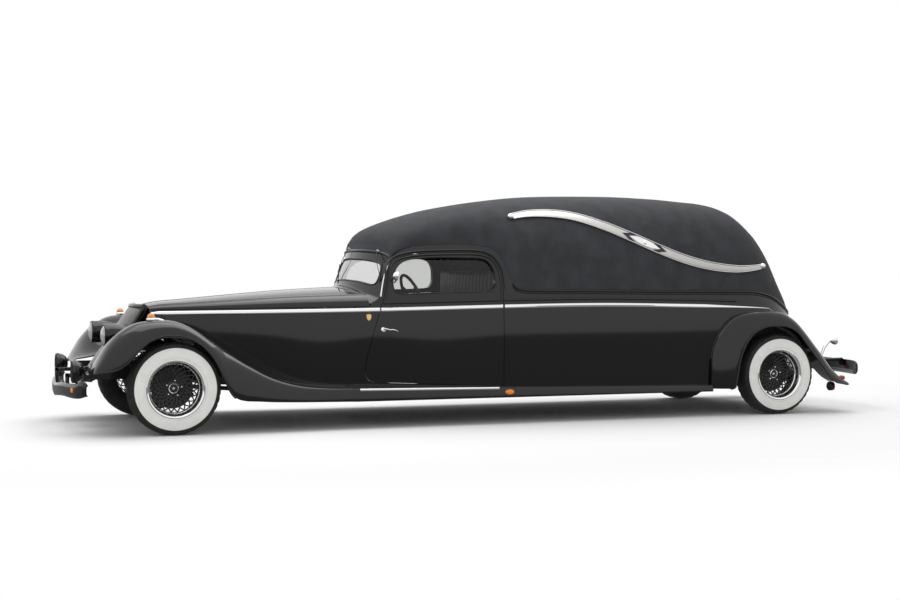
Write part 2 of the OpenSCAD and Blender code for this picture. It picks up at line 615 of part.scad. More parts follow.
// Amber lamps on the fender tops and ovals on the sills
module marker_lamps() {
    color(amber) both_sides() {
        translate([at(-165), 790, 876]) cylinder(h = 40, d1 = 62, d2 = 34);
        translate([at(2720), fender_y - 42, 262]) rotate([-90, 0, 0]) cylinder(h = 18, d = 46);
    }
}
module rear_lamps() {
    color(red_lens) both_sides() {
        translate([at(6010), 770, 296]) rotate([-90, 0, 0]) cylinder(h = 20, d = 44);
        translate([at(5890), 760, 222]) rotate([0, -90, 0]) cylinder(h = 50, d = 80);
        translate([at(5874), 800, 634]) rotate([0, -90, 0]) cylinder(h = 60, d1 = 30, d2 = 78);
    }
}

// S-shaped landau bar in the side plane, [aft, height] along its middle
LANDAU = [[2840, 1690], [2990, 1716], [3200, 1722], [3400, 1700], [3650, 1626], [3900, 1530],
    [4150, 1430], [4400, 1345], [4650, 1290], [4900, 1268], [5080, 1278], [5190, 1292]];
landau_w = 76;
module landau_bars() {
    color(chrome) both_sides() intersection() {
        side_prism(concat([for (p = LANDAU) p + [0, landau_w / 2]],
            [for (i = [len(LANDAU) - 1 : -1 : 0]) LANDAU[i] - [0, landau_w / 2]]), 200, 1000);
        panel(landau_skin(16), landau_skin(2));
    }
}
function landau_skin(out) = [for (s = ROOF_STATIONS) if (s >= 2770 && s <= 5000)
    [for (r = ROOF_TURNS) if (r < 70) roof_pt(s, r, -out)]];

// --- Cab and load space ---

module dashboard() {
    color(steel) {
        long_prism([[-wide(560), 900], [wide(560), 900], [wide(540), 1060], [wide(300), 1085],
            [-wide(300), 1085], [-wide(540), 1060]], at(1890), at(1800));
        bar(steer_at - steer_dir * 170, steer_at - steer_dir * (15 + seat_gap), 50);
    }
}
steer_y = 370;
steer_at = [at(2070), steer_y, 1030];
steer_tilt = 65;
steer_dir = [-sin(steer_tilt), 0, cos(steer_tilt)];
module steering_wheel() {
    color(rubber) translate(steer_at) rotate([0, -steer_tilt, 0]) {
        rotate_extrude() translate([195, 0]) circle(d = 26);
        cylinder(h = 30, d = 90, center = true);
        for (t = [0, 120, 240]) rotate(t) translate([0, -14, -5]) cube([195, 28, 10]);
    }
}
module front_seat() {
    color(leather) {
        block([at(2650), -wide(640), floor_top + 60], [at(2130), wide(640), floor_top + 280]);
        block([at(2770), -wide(640), floor_top + 60], [at(2650) - 1, wide(640), floor_top + 740]);
    }
}
module partition() {
    color(steel) long_prism([[-wide(745), floor_top + seat_gap], [wide(745), floor_top + seat_gap],
        [wide(745), up(1080)], [wide(590), up(1600)], [wide(430), up(1735)],
        [-wide(430), up(1735)], [-wide(590), up(1600)], [-wide(745), up(1080)]],
        at(2830), at(2800));
}
// Outline of the load deck, [aft, half width]
DECK_PLAN = [[2840, 650], [5400, 650], [5600, 415]];
deck_t = 60;
module load_deck() {
    color(steel) translate([0, 0, floor_top + seat_gap]) linear_extrude(deck_t)
        polygon(plan_outline(DECK_PLAN));
}
module engine() {
    color(steel) block([at(1180), -270, rail_top - rail_h + 10], [at(260), 270, 900]);
}

// --- Running gear ---

kingpin_y = kingpin_span / 2;
kingpin_d = 24;
stub_d = 36;
hub_in = wheel_y - 30;
differential_d = 270;
module front_axle() {
    color(steel) difference() {
        union() {
            bar([front_axle_x, -kingpin_y, tyre_r], [front_axle_x, kingpin_y, tyre_r], axle_d);
            both_sides() {
                translate([front_axle_x, kingpin_y, tyre_r - 35]) cylinder(h = 70, d = 64);
                bar([front_axle_x, rail_y + 100, tyre_r], [at(620), rail_y + 60, 300], 34);
                block([front_axle_x - 40, rail_y - 30, tyre_r],
                    [front_axle_x + 40, rail_y + 30, rail_top - rail_h - seat_gap]);
            }
        }
        both_sides() translate([front_axle_x, kingpin_y, 0])
            cylinder(h = 1000, d = kingpin_d + 2 * seat_gap);
    }
}
module knuckle_left() {
    color(steel) translate([front_axle_x, kingpin_y, tyre_r]) {
        cylinder(h = 140, d = kingpin_d, center = true);
        for (z = [-70, 41]) {
            translate([0, 0, z]) cylinder(h = 29, d = 64);
            translate([-32, 0, z]) cube([64, 58, 29]);
        }
        translate([-32, 40, -70]) cube([64, 18, 140]);
        rotate([-90, 0, 0]) translate([0, 0, 57]) cylinder(h = wheel_y - kingpin_y - 57 - 8,
            d = stub_d);
        translate([-170, -10, -66]) cube([140, 26, 22]);
    }
}
module knuckle_right() {
    mirror([0, 1, 0]) knuckle_left();
}
module rear_axle() {
    color(steel) {
        bar([rear_axle_x, -hub_in + 30, tyre_r], [rear_axle_x, hub_in - 30, tyre_r], axle_d + 20);
        bar([rear_axle_x, -wheel_y + 8, tyre_r], [rear_axle_x, wheel_y - 8, tyre_r], stub_d);
        translate([rear_axle_x, 0, tyre_r]) sphere(d = differential_d);
        both_sides() block([rear_axle_x - 40, rail_y - 30, tyre_r],
            [rear_axle_x + 40, rail_y + 30, rail_top - rail_h - seat_gap]);
    }
}

module tyre(x, side) {
    r = tyre_r;
    b = rim_d / 2 + seat_gap;
    w = tyre_w / 2;
    color(rubber) translate([x, side * wheel_y, tyre_r]) rotate([-90 * side, 0, 0])
        rotate_extrude($fn = 96) polygon([[b, -w + 18], [b + 20, -w + 6], [b + 60, -w],
            [r - 40, -w + 4], [r - 14, -w + 16], [r - 2, -w + 40], [r, -w + 60], [r, w - 60],
            [r - 2, w - 40], [r - 14, w - 16], [r - 40, w - 4], [b + 60, w], [b + 20, w - 6],
            [b, w - 18]]);
}
module rim(x, side) {
    r = rim_d / 2;
    w = rim_w / 2;
    color(chrome) translate([x, side * wheel_y, tyre_r]) rotate([-90 * side, 0, 0]) difference() {
        rotate_extrude($fn = 96) polygon([[0, -30], [60, -30], [60, -20], [r - 22, 18],
            [r - 12, 6], [r - 12, -w], [r, -w], [r, w], [r - 6, w], [r - 20, w - 18],
            [r - 20, 34], [60, -8], [0, -8]]);
        translate([0, 0, -31]) cylinder(h = 24, d = stub_d + 2 * seat_gap);
    }
}
module tyre_front_left() { tyre(front_axle_x, 1); }
module tyre_front_right() { tyre(front_axle_x, -1); }
module tyre_rear_left() { tyre(rear_axle_x, 1); }
module tyre_rear_right() { tyre(rear_axle_x, -1); }
module rim_front_left() { rim(front_axle_x, 1); }
module rim_front_right() { rim(front_axle_x, -1); }
module rim_rear_left() { rim(rear_axle_x, 1); }
module rim_rear_right() { rim(rear_axle_x, -1); }

module exhaust() {
    color(steel) {
        bar([at(1300), 520, 290], [at(4310), 520, 290], 54);
        bar([at(4300), 520, 290], [at(4650), 520, 290], 170);
        bar([at(4640), 520, 290], [at(4750), 560, 250], 54);
    }
}
module fuel_tank() {
    color(steel) block([at(5680), -rail_y + rail_w / 2 + 10, 300],
        [at(5440), rail_y - rail_w / 2 - 10, rail_top - 20]);
}

// --- Doors ---

// Slim barrel hinges in line at the door's rear edge
door_axis = [at(2708), wide(831)];
DOOR_HINGES = [up(420), up(800)];
hinge_d = 14;
hinge_h = 30;
// The body's two knuckles above and below each door knuckle
module body_knuckles() {
    for (z = DOOR_HINGES) for (k = [-1, 1])
        translate([door_axis[0], door_axis[1], z + k * (hinge_h + 2 * seat_gap)]) difference() {
            union() {
                cylinder(h = hinge_h - seat_gap, d = hinge_d, center = true);
                translate([-24, -32, -hinge_h / 2 + 1]) cube([21, 34, hinge_h - 2]);
            }
            cylinder(h = 3 * hinge_h, d = hinge_pin_d * 0.6 + 2 * seat_gap, center = true);
        }
}
DOOR_STATIONS = [1540, 1640, 1760, 1900, 2100, 2300, 2500, 2620, 2720];
DOOR_ROWS = [290, 400, 520, 660, 800, 900, 960, 1040, 1140, 1240, 1340, 1410];
function door_grid(inset) = [for (s = DOOR_STATIONS) [for (z = DOOR_ROWS) side_pt(s, z, inset)]];
module door_left() {
    color(paint) {
        difference() {
            intersection() {
                panel(door_grid(0), door_grid(door_t));
                side_prism(DOOR);
            }
            side_prism(WINDOW);
        }
        for (z = DOOR_HINGES) translate([door_axis[0], door_axis[1], z]) {
            cylinder(h = hinge_h, d = hinge_d, center = true);
            cylinder(h = hinge_h * 3, d = hinge_pin_d * 0.6, center = true);
            translate([3, -32, -hinge_h / 2]) cube([16, 34, hinge_h]);
        }
    }
}
module door_right() {
    mirror([0, 1, 0]) door_left();
}
module door_glass_left() {
    color(glass) intersection() {
        panel(door_grid(22), door_grid(22 + glass_t));
        side_prism(grow(WINDOW, -seat_gap));
    }
}
module door_glass_right() {
    mirror([0, 1, 0]) door_glass_left();
}

REAR_ROWS = [540, 660, 800, 930, 1060, 1180, 1300, 1420, 1520, 1620];
REAR_ACROSS = [500, 400, 280, 140, 0, -140, -280, -400, -500];
function rear_grid(inset) = [for (y = REAR_ACROSS) [for (z = REAR_ROWS) rear_pt(y, z, inset)]];
// The rear door hangs from two slim barrels on its top edge
rear_hinge_y = 180;
rear_axis = [at(5322), up(rear_door_top) + panel_gap / 2];
module rear_door() {
    color(paint) {
        intersection() {
            panel(rear_grid(0), rear_grid(door_t));
            rear_door_cut(0);
        }
        both_sides() translate([rear_axis[0], rear_hinge_y, rear_axis[1]]) rotate([90, 0, 0]) {
            cylinder(h = hinge_h, d = hinge_d, center = true);
            cylinder(h = hinge_h * 3, d = hinge_pin_d * 0.6, center = true);
            translate([0, -38, -hinge_h / 2]) cube([30, 36, hinge_h]);
        }
    }
}
module rear_hinge_ears() {
    both_sides() for (k = [-1, 1])
        translate([rear_axis[0], rear_hinge_y + k * (hinge_h + 2 * seat_gap), rear_axis[1]])
            rotate([90, 0, 0]) difference() {
                union() {
                    cylinder(h = hinge_h - seat_gap, d = hinge_d, center = true);
                    translate([0, 0, -hinge_h / 2 + 1]) cube([46, 26, hinge_h - 2]);
                }
                cylinder(h = 3 * hinge_h, d = hinge_pin_d * 0.6 + 2 * seat_gap, center = true);
            }
}

chassis_frame();
floor_pan();
hood_sides();
body_side_left();
body_side_right();
padded_roof();
cowl();
windscreen();
grille_shell();
front_fenders();
rear_fenders();
rockers();
headlamps();
front_bumper();
bumper_lamps();
marker_lamps();
rear_bumper();
rear_lamps();
landau_bars();
dashboard();
front_seat();
partition();
load_deck();
engine();
front_axle();
rear_axle();
exhaust();
fuel_tank();
hood();
door_left();
door_right();
door_glass_left();
door_glass_right();
rear_door();
steering_wheel();
knuckle_left();
knuckle_right();
tyre_front_left();
tyre_front_right();
tyre_rear_left();
tyre_rear_right();
rim_front_left();
rim_front_right();
rim_rear_left();
rim_rear_right();
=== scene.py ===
# %% [markdown]
# # A coachbuilt hearse
#
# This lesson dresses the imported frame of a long-nosed hearse. The frame brings bodies that
# move: doors, hood, rear door, steering and wheels. Every shell here is worked out from the
# same few sections as the frame's own metal, so each new panel lies where the old one was.

import math

import bmesh
import bpy
import numpy as np
from mathutils import Matrix, Vector
from mathutils.geometry import delaunay_2d_cdt
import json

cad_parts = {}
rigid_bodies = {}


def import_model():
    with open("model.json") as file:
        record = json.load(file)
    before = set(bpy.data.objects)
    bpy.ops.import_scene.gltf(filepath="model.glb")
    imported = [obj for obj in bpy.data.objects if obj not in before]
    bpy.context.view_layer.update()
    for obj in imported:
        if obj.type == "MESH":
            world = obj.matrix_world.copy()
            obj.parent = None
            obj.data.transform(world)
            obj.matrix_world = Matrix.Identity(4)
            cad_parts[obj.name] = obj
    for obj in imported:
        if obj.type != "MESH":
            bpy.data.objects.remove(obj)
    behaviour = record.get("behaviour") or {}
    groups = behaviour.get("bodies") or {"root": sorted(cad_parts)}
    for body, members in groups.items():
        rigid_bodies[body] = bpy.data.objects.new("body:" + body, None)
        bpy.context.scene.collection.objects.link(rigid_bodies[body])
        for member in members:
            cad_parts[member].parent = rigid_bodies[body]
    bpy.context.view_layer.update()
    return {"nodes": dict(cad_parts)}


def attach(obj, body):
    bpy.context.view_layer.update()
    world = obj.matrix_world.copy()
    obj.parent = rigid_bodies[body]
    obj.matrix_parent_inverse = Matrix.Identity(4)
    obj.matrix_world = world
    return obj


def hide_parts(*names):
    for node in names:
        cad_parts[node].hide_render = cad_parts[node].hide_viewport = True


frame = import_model()

# %% [markdown]
# ## Camera
#
# A long car needs a longish lens, or the near wheel swells. The camera stands well off the
# car's left side, a little ahead of it, at about window height.

# %% Camera
CAMERA_AT = Vector((4.8173, 12.1037, 1.2526))
CAMERA_TURN = math.radians(20.725)
CAMERA_DIP = math.radians(1.152)
CAMERA_ROLL = math.radians(0.21)
LENS = 59.79


def make_camera():
    look = Vector((
        -math.sin(CAMERA_TURN) * math.cos(CAMERA_DIP),
        -math.cos(CAMERA_TURN) * math.cos(CAMERA_DIP),
        -math.sin(CAMERA_DIP),
    ))
    across = look.cross(Vector((0, 0, 1))).normalized()
    upright = across.cross(look)
    right = across * math.cos(CAMERA_ROLL) + upright * math.sin(CAMERA_ROLL)
    top = upright * math.cos(CAMERA_ROLL) - across * math.sin(CAMERA_ROLL)
    camera = bpy.data.objects.new("camera", bpy.data.cameras.new("camera"))
    camera.matrix_world = Matrix((right, top, -look)).transposed().to_4x4()
    camera.location = CAMERA_AT
    camera.data.lens = LENS
    camera.data.sensor_width = 36
    bpy.context.scene.collection.objects.link(camera)
    bpy.context.scene.camera = camera
    return camera


make_camera()
bpy.context.scene.view_settings.view_transform = "Standard"
print("camera is", round(CAMERA_AT.length, 1), "m from the car's middle")

# %% [markdown]
# ## Finishes
#
# Black paint says everything by what it mirrors, so its base is nearly black and a clear coat
# lies over it. The padded roof is the opposite: a leather-grained cloth that mirrors nothing.
# Each finish below is a small node tree whose grain is made by noise, so it has no seams.


# %% Material helpers
def new_material(name, color, roughness, **sockets):
    """A Principled material; sockets are extra values set on the shader itself."""
    material = bpy.data.materials.new(name)
    material.use_nodes = True
    shader = material.node_tree.nodes["Principled BSDF"]
    shader.inputs["Base Color"].default_value = (*color, 1)
    shader.inputs["Roughness"].default_value = roughness
    for socket, value in sockets.items():
        shader.inputs[socket.replace("_", " ")].default_value = value
    return material


def link(material, start, out, end, socket):
    material.node_tree.links.new(start.outputs[out], end.inputs[socket])


def noise(material, scale, detail=4.0, kind="ShaderNodeTexNoise", stretch=(1, 1, 1)):
    """Noise in the car's own coordinates, optionally stretched."""
    nodes = material.node_tree.nodes
    place = nodes.new("ShaderNodeTexCoord")
    mapping = nodes.new("ShaderNodeMapping")
    mapping.inputs["Scale"].default_value = stretch
    link(material, place, "Object", mapping, "Vector")
    texture = nodes.new(kind)
    texture.inputs["Scale"].default_value = scale
    if "Detail" in texture.inputs:
        texture.inputs["Detail"].default_value = detail
    link(material, mapping, "Vector", texture, "Vector")
    return texture


def vary_color(material, texture, dark, light, low=0.35, high=0.65, out=0):
    ramp = material.node_tree.nodes.new("ShaderNodeValToRGB")
    ramp.color_ramp.elements[0].position = low
    ramp.color_ramp.elements[1].position = high
    ramp.color_ramp.elements[0].color = (*dark, 1)
    ramp.color_ramp.elements[1].color = (*light, 1)
    link(material, texture, out, ramp, "Fac")
    link(material, ramp, "Color", material.node_tree.nodes["Principled BSDF"], "Base Color")


def vary_roughness(material, texture, low, high, out=0):
    spread = material.node_tree.nodes.new("ShaderNodeMapRange")
    spread.inputs["To Min"].default_value = low
    spread.inputs["To Max"].default_value = high
    link(material, texture, out, spread, "Value")
    link(material, spread, "Result", material.node_tree.nodes["Principled BSDF"], "Roughness")


def add_bump(material, texture, strength, distance, out=0):
    bump = material.node_tree.nodes.new("ShaderNodeBump")
    bump.inputs["Strength"].default_value = strength
    bump.inputs["Distance"].default_value = distance
    link(material, texture, out, bump, "Height")
    link(material, bump, "Normal", material.node_tree.nodes["Principled BSDF"], "Normal")


# %% Paint, padding and cloth
def make_paint(name="black_paint", color=(0.0035, 0.0036, 0.0040)):
    material = new_material(name, color, 0.40, Specular_IOR_Level=0.06, Coat_Weight=0.90,
        Coat_Roughness=0.07)
    vary_roughness(material, noise(material, 2.2, 3), 0.36, 0.44)
    add_bump(material, noise(material, 900, 2), 0.02, 0.0004)
    return material


def make_padding():
    material = new_material("roof_padding", (0.03, 0.031, 0.034), 0.78, Specular_IOR_Level=0.25)
    vary_color(material, noise(material, 7, 5), (0.031, 0.032, 0.036), (0.042, 0.044, 0.049))
    grain = noise(material, 420, kind="ShaderNodeTexVoronoi")
    add_bump(material, grain, 0.35, 0.0012, "Distance")
    return material


def make_leather():
    material = new_material("seat_leather", (0.05, 0.05, 0.055), 0.48)
    vary_color(material, noise(material, 9, 4), (0.045, 0.045, 0.049), (0.075, 0.075, 0.082))
    add_bump(material, noise(material, 260, kind="ShaderNodeTexVoronoi"), 0.4, 0.001, "Distance")
    return material


def make_cloth(name, dark, light):
    material = new_material(name, light, 0.9, Sheen_Weight=0.3)
    vary_color(material, noise(material, 60, 3), dark, light)
    add_bump(material, noise(material, 700, 2, stretch=(1, 1, 0.2)), 0.4, 0.001)
    return material


def make_wood():
    material = new_material("deck_wood", (0.16, 0.085, 0.04), 0.35, Coat_Weight=0.5)
    grain = noise(material, 5, 6, stretch=(0.6, 9, 9))
    vary_color(material, grain, (0.09, 0.045, 0.02), (0.22, 0.12, 0.06))
    add_bump(material, grain, 0.15, 0.001)
    return material


PAINT = make_paint()
PADDING = make_padding()
LEATHER = make_leather()
CURTAIN = make_cloth("curtain_cloth", (0.045, 0.045, 0.048), (0.075, 0.075, 0.080))
CARPET = make_cloth("carpet", (0.02, 0.02, 0.021), (0.045, 0.045, 0.048))
WOOD = make_wood()


# %% Metal, glass and rubber
def make_metal(name, color, roughness, brush=None):
    material = new_material(name, color, roughness, Metallic=1.0)
    texture = noise(material, 40, 4, stretch=brush or (1, 1, 1))
    spread = 0.10 if brush else 0.03
    vary_roughness(material, texture, max(0.02, roughness - spread), roughness + spread)
    if brush:
        add_bump(material, noise(material, 500, 2, stretch=brush), 0.08, 0.0005)
    return material


def make_glass(name, mirror):
    # Only the face toward the viewer reflects, so a pane isn't counted twice.
    material = new_material(name, (0.9, 0.9, 0.9), 0.02)
    nodes, links = material.node_tree.nodes, material.node_tree.links
    clear = nodes.new("ShaderNodeBsdfTransparent")
    clear.inputs["Color"].default_value = (0.866, 0.870, 0.862, 1)
    gloss = nodes.new("ShaderNodeBsdfGlossy")
    gloss.inputs["Roughness"].default_value = 0.03
    fresnel = nodes.new("ShaderNodeFresnel")
    fresnel.inputs["IOR"].default_value = 1.45
    share = nodes.new("ShaderNodeMapRange")
    share.inputs["To Min"].default_value = mirror
    links.new(fresnel.outputs[0], share.inputs["Value"])
    facing = nodes.new("ShaderNodeNewGeometry")
    front = nodes.new("ShaderNodeMath")
    front.operation = "SUBTRACT"
    front.inputs[0].default_value = 1.0
    links.new(facing.outputs["Backfacing"], front.inputs[1])
    amount = nodes.new("ShaderNodeMath")
    amount.operation = "MULTIPLY"
    links.new(share.outputs["Result"], amount.inputs[0])
    links.new(front.outputs[0], amount.inputs[1])
    mix = nodes.new("ShaderNodeMixShader")
    links.new(amount.outputs[0], mix.inputs[0])
    links.new(clear.outputs[0], mix.inputs[1])
    links.new(gloss.outputs[0], mix.inputs[2])
    links.new(mix.outputs[0], nodes["Material Output"].inputs["Surface"])
    return material


def make_lens(name, color, glow=0.0):
    material = new_material(name, color, 0.12, Coat_Weight=0.8, Coat_Roughness=0.04)
    ribs = noise(material, 55, 1, kind="ShaderNodeTexVoronoi")
    dark = tuple(c * 0.7 for c in color)
    vary_color(material, ribs, color, dark, 0.1, 0.9, "Distance")
    add_bump(material, ribs, 0.5, 0.003, "Distance")
    if glow:
        shader = material.node_tree.nodes["Principled BSDF"]
        shader.inputs["Emission Color"].default_value = (*color, 1)
        shader.inputs["Emission Strength"].default_value = glow
    return material


def make_rubber(name, dark, light, roughness):
    material = new_material(name, light, roughness)
    vary_color(material, noise(material, 12, 5), dark, light)
    add_bump(material, noise(material, 300, 3), 0.15, 0.0008)
    return material


CHROME = make_metal("bright_chrome", (0.86, 0.86, 0.87), 0.06)
BRUSHED = make_metal("brushed_silver", (0.60, 0.585, 0.56), 0.46, brush=(1, 14, 14))
GRILLE = make_metal("gunmetal", (0.34, 0.33, 0.32), 0.30, brush=(14, 14, 1))
GOLD = make_metal("plain_gold", (0.75, 0.50, 0.18), 0.25)
STEEL = make_paint("frame_enamel", (0.018, 0.018, 0.019))
IRON = make_metal("engine_iron", (0.12, 0.12, 0.12), 0.55, brush=(1, 1, 1))
PIPE = make_metal("exhaust_pipe", (0.28, 0.26, 0.24), 0.42)
GLASS = make_glass("window_glass", 0.0)
SCREEN_GLASS = make_glass("windscreen_glass", 0.55)
AMBER = make_lens("amber_lens", (0.85, 0.25, 0.01), 0.15)
RED = make_lens("red_lens", (0.50, 0.008, 0.01))
PALE_LENS = make_lens("lamp_glass", (0.55, 0.57, 0.56))
RUBBER = make_rubber("tyre_rubber", (0.010, 0.010, 0.010), (0.018, 0.018, 0.018), 0.75)
WHITEWALL = make_rubber("whitewall", (0.74, 0.74, 0.71), (0.80, 0.80, 0.78), 0.55)
PLASTIC = make_rubber("black_plastic", (0.008, 0.008, 0.008), (0.014, 0.014, 0.014), 0.35)
print("finishes made:", len(bpy.data.materials))

# %% [markdown]
# ## The car's surfaces
#
# A coachbuilder lofts a body through a handful of sections. The tables below are those
# sections, in millimetres aft of the front axle and above the ground. Between rows the
# value runs along a smooth curve, and past the last straight station the plan turns round
# the tail along a squarish ellipse.

# %% Sections
MM = 0.001
FRONT_AXLE = 2777
WHEELBASE = 5279
REAR_AXLE = FRONT_AXLE - WHEELBASE
BODY_LOW = 235
FENDER_SIDE = 950
TAIL_START = 4700
TAIL_SPAN = 1100
TAIL_RIDGE = 5140
TAIL_POWER = 2 / 3
ROOF_POWER = 2 / 2.7

# aft, half width at the belt, half width at the sill, belt height
PLAN = np.array([
    (-140, 268, 250, 905), (0, 305, 290, 908), (400, 405, 400, 915), (800, 508, 512, 922),
    (1200, 600, 618, 928), (1650, 690, 700, 934), (2150, 757, 775, 945),
    (2700, 803, 815, 955), (3400, 828, 838, 955), (4000, 830, 840, 955), (4700, 830, 838, 955),
], float)
# aft, crown height of the hood
HOOD_CROWN = np.array([
    (-140, 962), (0, 989), (200, 1007), (600, 1044), (1000, 1077), (1350, 1098),
    (1490, 1106), (1570, 1124),
], float)
# aft at the middle, crown height of the roof, how far the sides lie aft of the middle
ROOF = np.array([
    (1660, 1412, 125), (1685, 1492, 115), (1735, 1556, 100), (1810, 1604, 82),
    (1950, 1660, 50), (2130, 1718, 20), (2350, 1774, 0), (2770, 1846, 0), (3195, 1891, 0),
    (3927, 1909, 0), (4400, 1897, 0), (4700, 1876, 0), (4850, 1867, 0), (5000, 1848, 0),
    (5140, 1822, 0),
], float)
# station, height of the padding's lower edge
ROOF_EDGE = np.array([
    (1660, 1330), (1685, 1352), (1735, 1385), (1810, 1418), (1950, 1446), (2130, 1460),
    (2400, 1466), (2600, 1445), (2680, 1400), (2735, 1300), (2770, 1200), (2800, 1125),
    (2860, 1098), (2950, 1088), (3500, 1084), (4300, 1077), (4820, 1073), (4900, 1062),
    (5000, 1030), (5120, 960), (5250, 895), (5380, 880), (5600, 880),
], float)
# height, how far aft the tail reaches at the middle of the car
REAR = np.array([
    (235, 5810), (600, 5765), (930, 5680), (1160, 5560), (1375, 5455), (1550, 5350),
    (1610, 5300), (1700, 5225), (1760, 5170), (1800, 5120), (1860, 5060),
], float)


# %% Curves and surface points
def curve(table, x, column=1):
    """Values of a table's column on a smooth curve through its rows."""
    xs, ys = table[:, 0], table[:, column]
    x = np.asarray(x, float)
    i = np.clip(np.searchsorted(xs, x, side="right") - 1, 0, len(xs) - 2)
    before = np.maximum(np.arange(len(xs)) - 1, 0)
    after = np.minimum(np.arange(len(xs)) + 1, len(xs) - 1)
    slope = (ys[after] - ys[before]) / (xs[after] - xs[before])
    h = xs[i + 1] - xs[i]
    s = np.clip((x - xs[i]) / h, 0, 1)
    r = s * s * (3 - 2 * s)
    ease = slope[i] * s * (1 - s) ** 2 - slope[i + 1] * s * s * (1 - s)
    return ys[i] * (1 - r) + ys[i + 1] * r + h * ease


def at(aft):
    return FRONT_AXLE - aft


def spread(q, power):
    """Angle from 0 to 90 degrees that opens evenly along a squarish ellipse."""
    q = np.clip(q, 0, 1)
    return np.radians(90) * q ** power / (q ** power + (1 - q) ** power)


def tail_turn(u):
    return spread((u - TAIL_START) / TAIL_SPAN, 1.5)


def station(u):
    """The tables' station for a place u along the side, round the tail included."""
    return np.where(u <= TAIL_START, u, TAIL_START + 10 * np.degrees(tail_turn(u)))


def sweep(start, end, turn):
    return start + (end - start) * np.sin(turn) ** TAIL_POWER


def half_at(aft, z):
    belt, sill, belt_z = curve(PLAN, aft), curve(PLAN, aft, 2), curve(PLAN, aft, 3)
    s = (z - BODY_LOW) / (belt_z - BODY_LOW)
    below = sill + (belt - sill) * s + 72 * s * (1 - s) * s
    return np.where(z > belt_z, belt - 0.0005 * (z - belt_z) ** 2, below)


def side_point(u, z, depth=0.0):
    """Left side of the body at a place u along it and height z, in metres."""
    turn = tail_turn(u)
    y = (half_at(np.minimum(u, TAIL_START), z) - depth) * np.cos(turn) ** TAIL_POWER
    aft = np.where(u <= TAIL_START, u, sweep(TAIL_START, curve(REAR, z) - depth, turn))
    return np.stack([at(aft), y, z + 0 * y], -1) * MM


def body_half(aft, z):
    """Half width of the body anywhere, the tail included."""
    square = 2 / TAIL_POWER
    t = np.maximum(0, aft - TAIL_START) / (curve(REAR, z) - TAIL_START)
    y = half_at(np.minimum(aft, TAIL_START), z)
    return y * np.maximum(0, 1 - t ** square) ** (1 / square)


def roof_point(u, q, depth=0.0):
    """Roof at place u along it; q runs from 0 at the left edge over 1 at the crown to 2."""
    turn, s = tail_turn(u), station(u)
    rise = np.where(q <= 1, spread(q, 1.35), spread(2 - q, 1.35))
    side = np.where(q <= 1, 1.0, -1.0)
    edge = curve(ROOF_EDGE, s)
    lift, across = np.sin(rise) ** ROOF_POWER, np.cos(rise) ** ROOF_POWER
    ridge = np.where(u <= TAIL_START, u, sweep(TAIL_START, TAIL_RIDGE, turn))
    crown = curve(ROOF, ridge) - depth
    z = edge + (crown - edge) * lift
    y = (half_at(np.minimum(u, TAIL_START), edge) - depth) * across * side
    y = y * np.cos(turn) ** TAIL_POWER
    aft = np.where(u <= TAIL_START, u + curve(ROOF, np.minimum(u, TAIL_START), 2) * across ** 2,
        sweep(TAIL_START, curve(REAR, z) - depth, turn))
    return np.stack([at(aft), y, z], -1) * MM


print("widest point of the body:", round(float(half_at(4000, 700)) * 2), "mm")

# %% [markdown]
# ## Building blocks
#
# Pressed panels have real thickness, so each shell is a pair of matching grids joined round
# its edge. Round trim is a tube swept along a path, and lamps and wheels are turned on a
# lathe. These few helpers make nearly everything on the car.


# %% Mesh helpers
def make_object(name, points, faces, material, body, smooth=True, sharp=40):
    """A mesh object in metres that rides on a body of the frame."""
    mesh = bpy.data.meshes.new(name)
    mesh.from_pydata([tuple(p) for p in points], [], [tuple(f) for f in faces])
    mesh.validate()
    mesh.materials.append(material)
    if smooth:
        mesh.shade_smooth()
        mesh.set_sharp_from_angle(angle=math.radians(sharp))
    mesh.update()
    piece = bpy.data.objects.new(name, mesh)
    bpy.context.scene.collection.objects.link(piece)
    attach(piece, body)
    return piece


def fix_facing(piece):
    """Turns every face of a closed piece outward."""
    mesh = bmesh.new()
    mesh.from_mesh(piece.data)
    bmesh.ops.recalc_face_normals(mesh, faces=mesh.faces)
    mesh.to_mesh(piece.data)
    mesh.free()
    return piece


def grid_faces(n, m, offset=0, closed=False):
    """Quads between n rows of m points; closed joins each row's end to its start."""
    span = m if closed else m - 1
    return [(offset + i * m + j, offset + (i + 1) * m + j,
             offset + (i + 1) * m + (j + 1) % m, offset + i * m + (j + 1) % m)
            for i in range(n - 1) for j in range(span)]


def shell(name, outer, inner, material, body, sharp=40):
    """A closed panel from two matching grids of points."""
    n, m = outer.shape[:2]
    half = n * m
    faces = grid_faces(n, m) + [f[::-1] for f in grid_faces(n, m, half)]
    ring = ([(0, j) for j in range(m - 1)] + [(i, m - 1) for i in range(n - 1)]
            + [(n - 1, j) for j in range(m - 1, 0, -1)] + [(i, 0) for i in range(n - 1, 0, -1)])
    ids = [i * m + j for i, j in ring]
    for a, b in zip(ids, ids[1:] + ids[:1]):
        faces.append((a, b, b + half, a + half))
    points = np.concatenate([outer.reshape(-1, 3), inner.reshape(-1, 3)])
    return fix_facing(make_object(name, points, faces, material, body, sharp=sharp))


def mirrored(points):
    return np.asarray(points) * np.array([1, -1, 1])


def on_side(points, flip):
    """The points as they are, or carried over to the right side of the car."""
    return mirrored(points) if flip else np.asarray(points, float)


def prism_faces(n):
    """Faces of a closed prism whose two outlines of n points follow each other."""
    return ([tuple(range(n)), tuple(range(2 * n - 1, n - 1, -1))]
            + [(k, (k + 1) % n, (k + 1) % n + n, k + n) for k in range(n)])


# Which pieces are flipped across the car, and which way each side faces.
HANDS = (("left", False), ("right", True))
SIDES = (("left", 1), ("right", -1))


